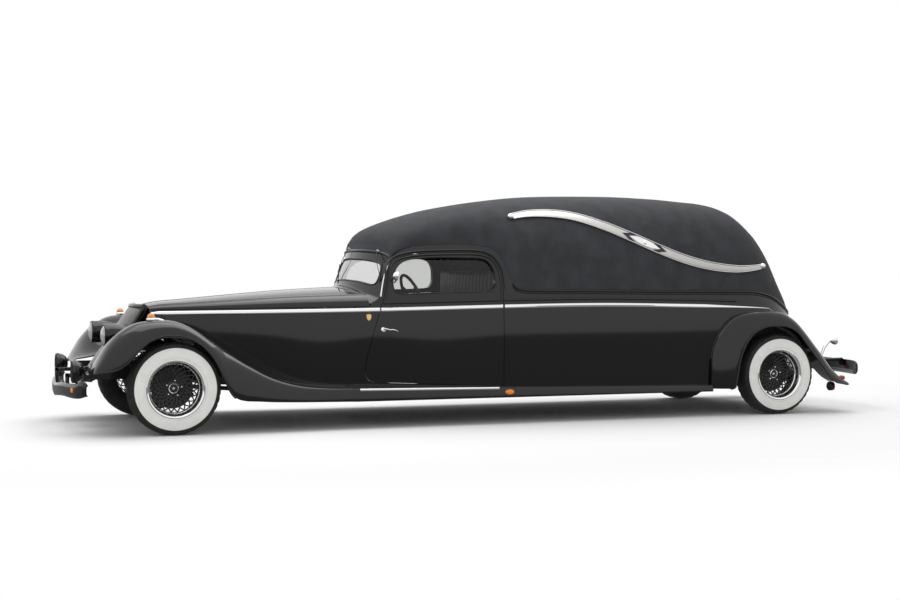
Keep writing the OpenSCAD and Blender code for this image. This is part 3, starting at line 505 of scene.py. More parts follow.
def tube(name, path, radius, material, body, sides=10, closed=False, squash=1.0, up=None):
    """A round bar along a path of points, with closed ends; radius may be a list."""
    path = np.asarray(path, float)
    n = len(path)
    radii = np.broadcast_to(radius, n)
    if closed:
        along = np.roll(path, -1, 0) - np.roll(path, 1, 0)
    else:
        along = np.gradient(path, axis=0)
    along /= np.linalg.norm(along, axis=1)[:, None] + 1e-12
    side = np.array(up if up is not None else (0, 0, 1), float)
    points = []
    for p, t, r in zip(path, along, radii):
        a = side - t * side.dot(t)
        if np.linalg.norm(a) < 1e-3:
            a = np.array([1.0, 0, 0]) - t * t[0]
        a /= np.linalg.norm(a)
        b = np.cross(t, a)
        for k in range(sides):
            w = 2 * math.pi * k / sides
            points.append(p + r * (a * math.cos(w) + b * math.sin(w) * squash))
    faces = grid_faces(n, sides, closed=True)
    if closed:
        last = (n - 1) * sides
        faces += [(last + j, j, (j + 1) % sides, last + (j + 1) % sides) for j in range(sides)]
    else:
        faces += [tuple(range(sides)), tuple(range(n * sides - 1, (n - 1) * sides - 1, -1))]
    return fix_facing(make_object(name, points, faces, material, body, sharp=50))


def lathe(name, profile, centre, axis, material, body, steps=48, sharp=35):
    """A turned piece: profile rows are (radius, distance along the axis) in metres."""
    axis = np.array(axis, float) / np.linalg.norm(axis)
    a = np.cross(axis, (0.0, 0.0, 1.0))
    if np.linalg.norm(a) < 1e-6:
        a = np.array([1.0, 0, 0])
    a /= np.linalg.norm(a)
    b = np.cross(axis, a)
    points, rows = [], []
    for r, d in profile:
        row = []
        if r < 1e-6:
            row = [len(points)] * steps
            points.append(np.array(centre) + axis * d)
        else:
            for k in range(steps):
                w = 2 * math.pi * k / steps
                row.append(len(points))
                points.append(np.array(centre) + axis * d + r * (a * math.cos(w) + b * math.sin(w)))
        rows.append(row)
    faces = []
    for p, q in zip(rows, rows[1:]):
        for k in range(steps):
            f = []
            for v in (p[k], p[(k + 1) % steps], q[(k + 1) % steps], q[k]):
                if v not in f:
                    f.append(v)
            if len(f) > 2:
                faces.append(f)
    return fix_facing(make_object(name, points, faces, material, body, sharp=sharp))


def box(name, low, high, material, body, bevel=0.004):
    """A bevelled block between two corners."""
    mesh = bmesh.new()
    bmesh.ops.create_cube(mesh, size=1)
    low, high = np.array(low, float), np.array(high, float)
    for v in mesh.verts:
        v.co = Vector((low + high) / 2 + np.array(v.co) * (high - low))
    bmesh.ops.bevel(mesh, geom=list(mesh.edges), offset=bevel, segments=2, affect="EDGES",
        profile=0.5)
    data = bpy.data.meshes.new(name)
    mesh.to_mesh(data)
    mesh.free()
    data.materials.append(material)
    data.shade_smooth()
    data.set_sharp_from_angle(angle=math.radians(35))
    piece = bpy.data.objects.new(name, data)
    bpy.context.scene.collection.objects.link(piece)
    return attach(piece, body)


def join(name, parts):
    """Joins pieces of one body into one mesh."""
    bpy.ops.object.select_all(action="DESELECT")
    for part in parts:
        part.select_set(True)
    bpy.context.view_layer.objects.active = parts[0]
    bpy.ops.object.join()
    parts[0].name = parts[0].data.name = name
    return parts[0]


def finish_as(piece, slot, *nodes):
    """Hides the frame's nodes that a piece stands for; the slot, a finish's name, is not used."""
    if nodes:
        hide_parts(*nodes)
    return piece


# %% [markdown]
# ## Cut panels
#
# A door is a piece of the body's side with a curved outline and a window in it. The outline
# is drawn flat, filled with triangles on an even grid, and then lifted onto the surface. The
# shading normals come from the surface itself, so black paint mirrors without ripples.


# %% Outlines and patches
def smooth_outline(points, spacing=14.0, closed=True):
    """Rounds a polygon of corner points into a dense, even outline."""
    points = np.asarray(points, float)
    n = len(points)
    out = []
    for i in range(n if closed else n - 1):
        p0, p1 = points[(i - 1) % n], points[i]
        p2, p3 = points[(i + 1) % n], points[(i + 2) % n]
        if not closed:
            p0 = points[max(i - 1, 0)]
            p3 = points[min(i + 2, n - 1)]
        d0, d1, d2 = (max(np.linalg.norm(b - a), 1e-6) ** 0.5 for a,
            b in ((p0, p1), (p1, p2), (p2, p3)))
        m1 = (p1 - p0) / d0 - (p2 - p0) / (d0 + d1) + (p2 - p1) / d1
        m2 = (p2 - p1) / d1 - (p3 - p1) / (d1 + d2) + (p3 - p2) / d2
        if not closed and i == 0:
            m1 = (p2 - p1) / d1
        if not closed and i == n - 2:
            m2 = (p2 - p1) / d1
        m1, m2 = m1 * d1, m2 * d1
        steps = max(1, int(round(np.linalg.norm(p2 - p1) / spacing)))
        for k in range(steps):
            s = k / steps
            out.append((2 * s ** 3 - 3 * s * s + 1) * p1 + (s ** 3 - 2 * s * s + s) * m1
                       + (3 * s * s - 2 * s ** 3) * p2 + (s ** 3 - s * s) * m2)
    if not closed:
        out.append(points[-1])
    return np.array(out)


def offset_outline(points, distance):
    """Moves a clockwise closed outline outward by a distance."""
    before, after = np.roll(points, 1, 0), np.roll(points, -1, 0)
    along = after - before
    along /= np.linalg.norm(along, axis=1)[:, None] + 1e-9
    return points + distance * np.stack([-along[:, 1], along[:, 0]], -1)


def inside(points, outline):
    """Which points lie inside a closed outline."""
    x, y = points[:, 0][:, None], points[:, 1][:, None]
    x1, y1 = outline[:, 0][None], outline[:, 1][None]
    x2, y2 = np.roll(outline, -1, 0)[:, 0][None], np.roll(outline, -1, 0)[:, 1][None]
    crosses = ((y1 > y) != (y2 > y)) & (
        x < (x2 - x1) * (y - y1) / np.where(y2 == y1, 1e-9, y2 - y1) + x1)
    return crosses.sum(1) % 2 == 1


def edge_distance(points, outline):
    """Distance from each point to an outline."""
    best = np.full(len(points), 1e9)
    for a, b in zip(outline, np.roll(outline, -1, 0)):
        d = b - a
        t = np.clip(((points - a) @ d) / max(d @ d, 1e-9), 0, 1)
        best = np.minimum(best, np.linalg.norm(points - a - t[:, None] * d, axis=1))
    return best


# How far grid points stay off an edge, in grid steps, and how many triangles share one look
# at which way the panel faces.
EDGE_MARGIN = 0.45
FACING_SAMPLE = 97


def patch(name, lift, outline, holes, thickness, step, material, body, flip=False):
    """A panel of a lifted surface, cut to an outline with holes, with true thickness."""
    low, high = outline.min(0), outline.max(0)
    grid_u = np.arange(low[0] + step[0] / 2, high[0], step[0])
    grid_v = np.arange(low[1] + step[1] / 2, high[1], step[1])
    filling = np.stack(np.meshgrid(grid_u, grid_v, indexing="ij"), -1).reshape(-1, 2)
    scale = np.array([1 / step[0], 1 / step[1]])
    rings = [outline] + list(holes)
    keep = inside(filling, outline)
    for hole in holes:
        keep &= ~inside(filling, hole)
    for ring in rings:
        keep &= edge_distance(filling * scale, ring * scale) > EDGE_MARGIN
    filling = filling[keep]
    flat, edges = [], []
    for ring in rings:
        start = len(flat)
        flat += [tuple(p) for p in ring]
        edges += [(start + i, start + (i + 1) % len(ring)) for i in range(len(ring))]
    flat += [tuple(p) for p in filling]
    found = delaunay_2d_cdt([Vector(p) for p in flat], edges, [], 0, 1e-4)
    uv = np.array([tuple(v) for v in found[0]])
    triangles = np.array([tuple(f) for f in found[2] if len(f) == 3])
    middle = uv[triangles].mean(1)
    keep = inside(middle, outline)
    for hole in holes:
        keep &= ~inside(middle, hole)
    triangles = triangles[keep]
    used = np.unique(triangles)
    index = np.full(len(uv), -1)
    index[used] = np.arange(len(used))
    uv, triangles = uv[used], index[triangles]
    a, b, c = uv[triangles[:, 0]], uv[triangles[:, 1]], uv[triangles[:, 2]]
    turned = np.cross(b - a, c - a) < 0
    triangles[turned] = triangles[turned][:, ::-1]
    mirror = np.array([1, -1 if flip else 1, 1])
    outer = lift(uv[:, 0], uv[:, 1], 0.0) * mirror
    inner = lift(uv[:, 0], uv[:, 1], thickness) * mirror
    tiny_u, tiny_v = 0.5, 0.5 * step[1] / step[0]
    du = lift(uv[:, 0] + tiny_u, uv[:, 1], 0.0) - lift(uv[:, 0] - tiny_u, uv[:, 1], 0.0)
    dv = lift(uv[:, 0], uv[:, 1] + tiny_v, 0.0) - lift(uv[:, 0], uv[:, 1] - tiny_v, 0.0)
    normal = np.cross(du * mirror, dv * mirror)
    size = np.linalg.norm(normal, axis=1)[:, None]
    normal = np.where(size > 1e-12, normal / np.maximum(size, 1e-12), 0)
    count = len(uv)
    edge_use = {}
    for t in triangles:
        for i, j in ((t[0], t[1]), (t[1], t[2]), (t[2], t[0])):
            edge_use[(i, j)] = edge_use.get((i, j), 0) + 1
    border = [(i, j) for i, j in edge_use if (j, i) not in edge_use]
    faces = [tuple(t) for t in triangles] + [tuple(t[::-1] + count) for t in triangles]
    faces += [(j, i, i + count, j + count) for i, j in border]
    face_normal = np.cross(outer[triangles[:, 1]] - outer[triangles[:, 0]],
        outer[triangles[:, 2]] - outer[triangles[:, 0]])
    agree = np.sign((face_normal * normal[triangles[:, 0]]).sum())
    normal *= agree if agree else 1
    points = np.concatenate([outer, inner])
    piece = make_object(name, points, faces, material, body, smooth=False)
    fix_facing(piece)
    mesh = piece.data
    mesh.shade_smooth()
    outward = np.sign(sum(mesh.polygons[k].normal.dot(Vector(normal[triangles[k][0]]))
                          for k in range(0, len(triangles), FACING_SAMPLE)))
    loops = []
    for k, polygon in enumerate(mesh.polygons):
        for v in polygon.vertices:
            if len(polygon.vertices) == 4:
                loops.append(tuple(polygon.normal))
            elif v < count:
                loops.append(tuple(normal[v] * outward))
            else:
                loops.append(tuple(-normal[v - count] * outward))
    mesh.normals_split_custom_set(loops)
    return piece


print("helpers ready")

# %% [markdown]
# ## Body sides
#
# Each side is one pressing from the windscreen pillar to the middle of the tail. The door
# opening, the wheel arch, two slots for the frame rails and half of the rear door's opening
# are cut out of it. Cutting in the flat keeps every edge clean.

# %% Outlines on the side
DOOR_CURVE = [
    (1632, 350), (1590, 366), (1572, 388), (1560, 425), (1560, 468), (1576, 560), (1600, 651),
    (1650, 830), (1700, 990), (1712, 1030), (1738, 1150), (1762, 1272), (1784, 1306),
    (1822, 1338), (1930, 1371), (2080, 1387), (2300, 1394), (2500, 1393), (2570, 1382),
    (2630, 1352), (2672, 1295), (2694, 1229), (2704, 1100)]
DOOR_FOOT = (2704, 306)
WINDOW = smooth_outline([
    (1842, 1066), (1806, 1082), (1792, 1130), (1800, 1200), (1826, 1262), (1880, 1312),
    (1950, 1334), (2050, 1345), (2185, 1350), (2400, 1349), (2535, 1344), (2590, 1322),
    (2626, 1270), (2640, 1200), (2638, 1130), (2612, 1095), (2560, 1086), (2185, 1075)])
ARCH_RADIUS = 437
DOOR_GAP = 4
REAR_DOOR_HALF, REAR_DOOR_LOW, REAR_DOOR_TOP = 460, 560, 1600


def line(a, b, spacing=20.0):
    a, b = np.array(a, float), np.array(b, float)
    steps = max(1, int(np.linalg.norm(b - a) / spacing))
    return [a + (b - a) * k / steps for k in range(steps)]


def door_outline(grow=0.0):
    rounded = list(smooth_outline(DOOR_CURVE, closed=False))
    sides = line(DOOR_CURVE[-1], DOOR_FOOT)[1:] + line(DOOR_FOOT, DOOR_CURVE[0])
    return offset_outline(np.array(rounded + sides), grow)


def place_of_turn(turn, power=1.5):
    share = np.clip(turn / np.radians(90), 0, 1)
    k = (share / np.maximum(1 - share, 1e-9)) ** (1 / power)
    return TAIL_START + TAIL_SPAN * k / (1 + k)


def place_of_aft(aft, z):
    """Place along the side of a point given by its distance aft."""
    reach = np.clip((aft - TAIL_START) / (curve(REAR, z) - TAIL_START), 0, 1)
    return np.where(aft <= TAIL_START, aft, place_of_turn(np.arcsin(reach ** 1.5)))


def place_of_half(y, z):
    """Place round the tail of a point given by its distance from the middle."""
    return place_of_turn(np.arccos(np.clip(y / half_at(TAIL_START, z), 0, 1) ** 1.5))


def rear_door_outline(grow=0.0):
    """Left half of the rear door as (distance from the middle, height), from its foot up."""
    w, low, top = REAR_DOOR_HALF + grow, REAR_DOOR_LOW - grow, REAR_DOOR_TOP + grow
    r, t = 90, REAR_DOOR_HALF + grow - 50
    corners = [(0, low), (w - r, low), (w - r / 3, low + r / 4), (w, low + r),
               (t + 8, top - r), (t - r / 3, top - r / 4), (t - r, top), (0, top)]
    return np.array(line(corners[0], corners[1]) + list(smooth_outline(corners[1:4], 12,
        False)) + line(corners[3], corners[4])[1:] + list(smooth_outline(corners[4:7], 12,
        False)) + line(corners[6], corners[7])[1:] + [np.array(corners[7], float)])


TAIL_MIDDLE = TAIL_START + TAIL_SPAN - 0.5


def side_outline():
    foot = line((1690, BODY_LOW), (TAIL_START, BODY_LOW), 40)
    foot += [np.array((u, BODY_LOW)) for u in np.linspace(TAIL_START, TAIL_MIDDLE, 60)]
    back = line((TAIL_MIDDLE, BODY_LOW), (TAIL_MIDDLE, 878), 30)[1:]
    top = [np.array((u, curve(ROOF_EDGE, station(u)) - 2))
           for u in np.linspace(TAIL_MIDDLE, TAIL_START, 60)]
    s = np.linspace(TAIL_START, 1665, 170)[1:]
    top += list(np.stack([s + curve(ROOF, s, 2), curve(ROOF_EDGE, s) - 2], -1))
    pillar = smooth_outline([(1782, 1322), (1745, 1245), (1711, 1135), (1690, 1045)], 14, False)
    return np.array(foot + back + top + list(pillar) + line((1690, 1045), (1690, 235), 30)[1:])


def side_holes():
    w = np.linspace(0, 2 * np.pi, 120, endpoint=False)
    aft = WHEELBASE + ARCH_RADIUS * np.cos(w)
    z = 350 + ARCH_RADIUS * np.sin(w)
    arch = np.stack([place_of_aft(aft, z), z], -1)
    half = rear_door_outline(DOOR_GAP)
    rear = np.stack([place_of_half(half[:, 0], half[:, 1]), half[:, 1]], -1)
    rear = np.concatenate([rear, [(TAIL_MIDDLE + 60, half[-1, 1]), (TAIL_MIDDLE + 60, half[0, 1])]])
    slot = np.array(line((329, 394), (421, 394)) + line((421, 394), (421, 506)) + line((421, 506),
        (329, 506)) + line((329, 506), (329, 394)))
    rail = np.stack([place_of_half(slot[:, 0], slot[:, 1]), slot[:, 1]], -1)
    return [door_outline(DOOR_GAP), arch, rear, rail]


# %% Press the sides
for hand, flip in HANDS:
    side = patch(f"body_side_panel_{hand}", side_point, side_outline(), side_holes(), 40,
        (46, 40), PAINT, "body", flip)
    finish_as(side, "paint", f"body_side_{hand}")
print("side panel triangles:", len(side.data.polygons))

# %% [markdown]
# ## Doors
#
# The door is hinged at its rear edge. Its skin, window hole and glass all follow the same
# side surface. A trim panel covers its inner face, and a bead runs round the window.


# %% Doors, their glass and trim panels
def trace(outline, depth, flip):
    """Lifts a flat outline onto the body side as a path in metres; depth is inward."""
    path = side_point(outline[:, 0], outline[:, 1], depth)
    return on_side(path, flip)


def between(outline, low, high):
    """The stretch of an outline above a height, in order."""
    keep = (outline[:, 1] >= low) & (outline[:, 1] <= high)
    start = int(np.argmax(~keep)) if not keep.all() else 0
    order = np.roll(np.arange(len(outline)), -start)
    return outline[order][keep[order]]


INNER_TRIM = smooth_outline([
    (1660, 420), (1640, 470), (1660, 600), (1720, 800), (1775, 985), (1830, 1010),
    (2300, 1020), (2620, 1020), (2640, 980), (2640, 420), (2600, 380), (1720, 390)])

for hand, flip in HANDS:
    body = f"{hand}_door"
    skin = patch(f"door_skin_{hand}", side_point, door_outline(), [WINDOW], 48, (38, 34), PAINT,
        body, flip)
    finish_as(skin, "paint", f"door_{hand}")
    pane = patch(f"door_pane_{hand}", lambda u, v, d: side_point(u, v, d + 22),
        offset_outline(WINDOW, -0.5), [], 5, (60, 60), GLASS, body, flip)
    finish_as(pane, "glass", f"door_glass_{hand}")
    trim = patch(f"door_trim_{hand}", lambda u, v, d: side_point(u, v, d + 49), INNER_TRIM, [], 6,
        (60, 60), LEATHER, body, flip)
    finish_as(trim, "seat_leather")
    frame_bead = between(offset_outline(door_outline(), -13), 1010, 2000)
    tube_path = trace(frame_bead, -3, flip)
    finish_as(tube(f"door_frame_bead_{hand}", tube_path, 0.007, PAINT, body), "paint")
    edge_path = trace(offset_outline(WINDOW, 7), -1, flip)
    finish_as(tube(f"window_bead_{hand}", edge_path, 0.0045, PAINT, body, closed=True), "paint")
    outer_bead = between(offset_outline(door_outline(), 20), 1090, 2000)
    outer_path = trace(outer_bead, -3, flip)
    finish_as(tube(f"opening_bead_{hand}", outer_path, 0.008, PAINT, "body"), "paint")
print("door skin triangles:", len(skin.data.polygons))

# %% [markdown]
# ## Padded roof
#
# A padded roof is foam under grained cloth, pulled over the shell and closed by a moulding
# along its lower edge. It is one sheet from the windscreen header to the tail, with the top
# of the rear door's opening cut from it.


# %% Roof sheet
def roof_place(y, z):
    """Place on the tail's roof of a point y from the middle and z up, by halving."""
    low, high = np.zeros_like(y), np.full_like(y, np.radians(90))
    for _ in range(40):
        turn = (low + high) / 2
        s = TAIL_START + 10 * np.degrees(turn)
        edge = curve(ROOF_EDGE, s)
        crown = curve(ROOF, sweep(TAIL_START, TAIL_RIDGE, turn))
        rise = np.arcsin(np.clip((z - edge) / (crown - edge), 0, 1) ** (1 / ROOF_POWER))
        half = half_at(TAIL_START, edge) * np.cos(rise) ** ROOF_POWER
        wide = half * np.cos(turn) ** TAIL_POWER > y
        low, high = np.where(wide, turn, low), np.where(wide, high, turn)
    share = np.clip(rise / np.radians(90), 1e-6, 1 - 1e-6)
    k = (share / (1 - share)) ** (1 / 1.35)
    return place_of_turn(turn), k / (1 + k)


ROOF_SCALE = 1000


def roof_lift(u, v, depth):
    return roof_point(u, v / ROOF_SCALE, depth)


def roof_outline():
    u = np.concatenate([np.linspace(1660, 1810, 16), np.linspace(1830, TAIL_START, 130),
        np.linspace(TAIL_START, TAIL_MIDDLE, 60)[1:]])
    left = [(a, 0.0) for a in u]
    back = [(TAIL_MIDDLE, v) for v in np.linspace(0, 2 * ROOF_SCALE, 81)[1:-1]]
    right = [(a, 2.0 * ROOF_SCALE) for a in u[::-1]]
    front = [(1660.0, v) for v in np.linspace(2 * ROOF_SCALE, 0, 61)[1:-1]]
    return np.array(left + back + right + front)


def roof_hole():
    half = rear_door_outline(DOOR_GAP)
    half = half[half[:, 1] > 895]
    u, q = roof_place(half[:, 0], half[:, 1])
    left = np.stack([u, q * ROOF_SCALE], -1)
    right = np.stack([u, (2 - q) * ROOF_SCALE], -1)
    end = TAIL_MIDDLE + 40
    foot = np.array([(left[0, 0], -60.0)])
    other = np.array([(right[0, 0], 2 * ROOF_SCALE + 60.0)])
    # The opening reaches the tail's middle line, so the cut runs off the sheet there.
    top = left[-1, 1]
    return [np.concatenate([foot, left, [(end, top), (end, -60.0)]]),
        np.concatenate([other, right, [(end, 2 * ROOF_SCALE - top),
        (end, 2 * ROOF_SCALE + 60.0)]])]


roof = patch("roof_sheet", roof_lift, roof_outline(), roof_hole(), 42, (46, 24), PADDING, "body")
finish_as(roof, "vinyl", "padded_roof")
print("roof triangles:", len(roof.data.polygons))


# %% Roof mouldings
def roof_edge_path(u, drop, out):
    """Path along the padding's lower edge on the left, lowered and moved out."""
    s = station(u)
    z = curve(ROOF_EDGE, s) - drop
    turn = tail_turn(u)
    y = (half_at(np.minimum(u, TAIL_START), z) + out) * np.cos(turn) ** TAIL_POWER
    aft = np.where(u <= TAIL_START, u + curve(ROOF, np.minimum(u, TAIL_START), 2),
        sweep(TAIL_START, curve(REAR, z) + out, turn))
    return np.stack([at(aft), y, z], -1) * MM


edge_u = np.concatenate([np.linspace(2790, TAIL_START, 60), np.linspace(TAIL_START, 5560, 40)[1:]])
front_v = np.linspace(0.0, 2.0, 61)
for hand, flip in HANDS:
    for name, drop, out, radius in (("upper", 4, 3, 0.009), ("lower", 24, 1, 0.006)):
        path = on_side(roof_edge_path(edge_u, drop, out), flip)
        finish_as(tube(f"roof_moulding_{name}_{hand}", path, radius, PAINT, "body"), "paint")
brow = roof_point(np.full(61, 1662.0), front_v, 6)
finish_as(tube("roof_brow_moulding", brow, 0.012, PAINT, "body"), "paint")

# %% [markdown]
# ## Hood and cowl
#
# The hood is one arched strip that grows from the grille to the windscreen. A shoulder line
# runs along each side of it. Behind it the cowl sweeps up into the windscreen frame.

# %% Hood skin
HOOD_FRONT, HOOD_BACK = -138, 1482
HOOD_SEAM = 22
HOOD_GAP = 4
SHOULDER = 0.40


def hood_point(s, q, depth=0.0):
    """Hood at station s; q runs from 0 at the left seam over 1 at the middle to 2."""
    bow = np.where(s < 0, 44 * s / HOOD_FRONT, np.where(s < 900, 0, 112 * ((s - 900) / 582) ** 2))
    base = curve(PLAN, s + bow, 3) + HOOD_SEAM + HOOD_GAP
    near = np.where(q <= 1, q, 2 - q)
    turn = spread(near, 1.2)
    half = curve(PLAN, s + bow) - depth
    across = np.cos(turn) ** 0.9
    crease = 5.0 * np.exp(-((near - SHOULDER) / 0.022) ** 2)
    ridge = 4.0 * np.exp(-((near - 1) / 0.02) ** 2)
    crown = curve(HOOD_CROWN, s) - depth
    z = base + (crown - base) * np.sin(turn) ** 0.8 + crease + ridge
    y = (half * across + crease * 0.6) * np.where(q <= 1, 1, -1)
    return np.stack([at(s + bow * across ** 2), y, z + 0 * y], -1) * MM


def rings(point, rows, columns, depth=0.0):
    grid_rows, grid_columns = np.meshgrid(rows, columns, indexing="ij")
    return point(grid_rows, grid_columns, depth)


hood_rows = np.concatenate([np.linspace(HOOD_FRONT, 60, 12), np.linspace(90, HOOD_BACK, 60)])
hood_columns = np.concatenate([np.linspace(0, 0.34, 12), np.linspace(0.352, 0.448, 17),
    np.linspace(0.47, 0.93, 18), np.linspace(0.945, 1, 8)])
hood_columns = np.concatenate([hood_columns, 2 - hood_columns[-2::-1]])
inner_rows = np.minimum(hood_rows, HOOD_BACK - 32)
hood = shell("hood_skin", rings(hood_point, hood_rows, hood_columns),
    rings(hood_point, inner_rows, hood_columns, 18), PAINT, "hood", sharp=50)
finish_as(hood, "paint", "hood")
print("hood triangles:", 2 * len(hood.data.polygons))

# %% Hood hinges
HINGE_ARM = [(-9, -9), (58, -84), (114, -86), (175, 20), (175, 36), (155, 36), (100, -66),
    (60, -66), (9, 3), (0, 9), (-9, 9)]


def plate(name, outline, y, thickness, centre, material, body):
    """A flat plate standing along the car, from (forward, up) points in mm."""
    points = [((centre[0] + a) * MM, (y + side) * MM, (centre[1] + b) * MM)
              for side in (-thickness / 2, thickness / 2) for a, b in outline]
    return fix_facing(make_object(name, points, prism_faces(len(outline)), material, body))


hinges = []
for y in (300, -300):
    hinges.append(plate("hood_hinge_arm", HINGE_ARM, y, 16, (at(1590), 1045), STEEL, "hood"))
    hinges.append(lathe("hood_hinge_pin", [(0, -0.022), (0.005, -0.022), (0.005, 0.022),
        (0, 0.022)], (at(1590) * MM, y * MM, 1.045), (0, 1, 0), STEEL, "hood", 20))
finish_as(join("hood_hinges", hinges), "frame_steel")

# %% Hood sides
SIDE_LOW = np.array([
    (-94, 806), (0, 800), (95, 768), (185, 718), (255, 670), (315, 630), (400, 568), (520, 489),
    (620, 432), (730, 374), (850, 328), (1000, 290), (1200, 268), (1690, 235)], float)


for hand, flip in HANDS:
    outline = [(u, curve(PLAN, u, 3) + HOOD_SEAM) for u in np.linspace(-94, 1690, 60)]
    outline += line((1690, 956), (1690, 235), 30)[1:]
    outline += [(u, curve(SIDE_LOW, u)) for u in np.linspace(1690, -94, 70)]
    piece = patch(f"hood_side_{hand}", side_point, np.array(outline), [door_outline(DOOR_GAP)],
        20, (40, 36), PAINT, "body", flip)
    finish_as(piece, "paint", *([] if flip else ["hood_sides"]))

# %% Cowl and windscreen
# aft at the middle, height there, how far the ends lie aft, how far they drop
COWL = np.array([(0, 1490, 1108, 118, 128), (1, 1520, 1116, 122, 118), (2, 1560, 1128, 126, 95),
    (3, 1585, 1210, 126, 70), (4, 1620, 1300, 125, 58), (5, 1646, 1360, 128, 56)], float)
COWL_SCALE = 500
ROW_SCALE = 80


def cowl_point(a, b, depth=0.0):
    """Cowl and screen frame; a is across (left positive) and b climbs row by row."""
    v, k = a / COWL_SCALE, b / ROW_SCALE
    aft, high = curve(COWL, k, 1), curve(COWL, k, 2)
    back, drop = curve(COWL, k, 3), curve(COWL, k, 4)
    half = half_at(aft + back, high - drop) - 45
    lean = np.clip((k - 1.4) / 1.2, 0, 1)
    x = at(aft + back * v * v) - depth * (0.25 + 0.75 * lean)
    return np.stack([x, half * v, high - drop * v * v - depth * (1 - lean)], -1) * MM


def screen_outline(grow=0.0):
    w = 570 + grow
    corners = [(0, 1172 - grow), (-w + 260, 1160 - grow), (-w + 60, 1136 - grow), (-w + 12, 1142),
               (-w, 1175), (-w + 12, 1245), (-w + 40, 1285 + grow), (-w + 110, 1312 + grow),
               (0, 1340 + grow), (w - 110, 1312 + grow), (w - 40, 1285 + grow), (w - 12, 1245),
               (w, 1175), (w - 12, 1142), (w - 60, 1136 - grow), (w - 260, 1160 - grow)]
    outline = smooth_outline(corners, 16)
    y, z = outline[:, 0], outline[:, 1]
    low, high = np.full_like(y, 1.2), np.full_like(y, 5.0)
    for _ in range(40):
        k = (low + high) / 2
        place = cowl_point(np.zeros_like(k), k * ROW_SCALE)
        half = half_at(curve(COWL, k, 1) + curve(COWL, k, 3),
            curve(COWL, k, 2) - curve(COWL, k, 4)) - 45
        height = place[:, 2] / MM - curve(COWL, k, 4) * (y / half) ** 2
        low, high = np.where(height < z, k, low), np.where(height < z, high, k)
    return np.stack([y / half * COWL_SCALE, k * ROW_SCALE], -1)


cowl_edge = np.array(line((-COWL_SCALE, 0), (COWL_SCALE, 0), 20) + line((COWL_SCALE, 0),
    (COWL_SCALE, 5 * ROW_SCALE), 16) + line((COWL_SCALE, 5 * ROW_SCALE),
    (-COWL_SCALE, 5 * ROW_SCALE), 20) + line((-COWL_SCALE, 5 * ROW_SCALE), (-COWL_SCALE, 0), 16))
cowl = patch("cowl_and_screen_frame", cowl_point, cowl_edge, [screen_outline()], 22, (22, 16),
    PAINT, "body")
finish_as(cowl, "paint", "cowl")
pane = patch("windscreen_pane", lambda a, b, d: cowl_point(a, b, d + 10), screen_outline(-1), [],
    5, (30, 24), SCREEN_GLASS, "body")
finish_as(pane, "glass", "windscreen")
for hand, flip in HANDS:
    corner = np.array(line((1594, 950), (1712, 953)) + line((1712, 953),
        (1740, 1110)) + line((1740, 1110), (1700, 1090)) + line((1700, 1090),
        (1655, 1012)) + line((1655, 1012), (1594, 976)))
    filler = patch(f"cowl_corner_{hand}", lambda u, v, d: side_point(u, v, d + 1.5), corner,
        [door_outline(DOOR_GAP)], 16, (24, 24), PAINT, "body", flip)
    finish_as(filler, "paint")
frame_path = screen_outline(6)
finish_as(tube("windscreen_seal", cowl_point(frame_path[:, 0], frame_path[:, 1], -1), 0.006,
    PLASTIC, "body", closed=True), "dash_trim")

# %% [markdown]
# ## Fenders and rockers
#
# A fender is a strip that climbs from the body to a crest and rolls over outside the wheel.
# Its sections come from a table with a row every few inches. The rockers carry the same
# sweep along the foot of the body. A rolled bead stiffens the edge of each wheel opening.

# %% Fender sections
# aft, inner y (0: along the body), inner height, crest height, crest y, lower edge height,
# how far the outer face lies inside the widest line
FRONT_FENDER = np.array([
    (-600, 520, 480, 500, 740, 470, 70), (-570, 430, 518, 560, 745, 480, 42),
    (-520, 330, 532, 650, 752, 488, 20), (-440, 282, 550, 745, 762, 505, 6),
    (-360, 280, 565, 805, 770, 552, 0), (-280, 284, 600, 845, 775, 640, 0),
    (-190, 286, 640, 861, 778, 716, 0), (-100, 286, 680, 867, 780, 747, 0),
    (0, 0, 712, 860, 780, 752, 0), (95, 0, 715, 828, 780, 731, 0),
    (185, 0, 700, 778, 782, 680, 0), (255, 0, 680, 730, 785, 612, 0),
    (315, 0, 655, 690, 788, 520, 0), (360, 0, 635, 656, 792, 425, 0),
    (400, 0, 614, 628, 796, 335, 0), (445, 0, 588, 598, 800, 277, 0),
    (520, 0, 545, 549, 808, 250, 2), (620, 0, 488, 492, 818, 243, 6),
    (730, 0, 430, 434, 828, 235, 12), (850, 0, 385, 388, 838, 230, 20),
    (1000, 0, 347, 350, 850, 225, 30), (1200, 0, 326, 328, 862, 221, 40),
    (1400, 0, 318, 320, 872, 217, 46)], float)
REAR_FENDER = np.array([
    (4625, 0, 470, 480, 850, 238, 84), (4650, 0, 600, 606, 852, 238, 60),
    (4695, 0, 695, 700, 855, 238, 34), (4760, 0, 782, 786, 858, 238, 12),
    (4815, 0, 830, 834, 860, 240, 3), (4838, 0, 846, 850, 862, 350, 0),
    (4862, 0, 858, 862, 864, 480, 0), (4905, 0, 872, 878, 866, 590, 0),
    (4955, 0, 884, 890, 866, 668, 0), (5025, 0, 892, 900, 866, 728, 0),
    (5125, 0, 896, 904, 864, 767, 0), (5235, 0, 892, 902, 860, 775, 0),
    (5340, 0, 874, 884, 852, 765, 0), (5440, 0, 818, 828, 846, 715, 0),
    (5510, 0, 756, 766, 842, 640, 0), (5585, 0, 676, 686, 838, 550, 0),
    (5655, 625, 596, 606, 836, 468, 0), (5720, 610, 522, 532, 834, 395, 2),
    (5785, 600, 446, 456, 832, 315, 6), (5850, 595, 374, 384, 830, 272, 12),
    (5930, 590, 306, 314, 828, 256, 26), (6010, 588, 262, 270, 824, 240, 48)], float)
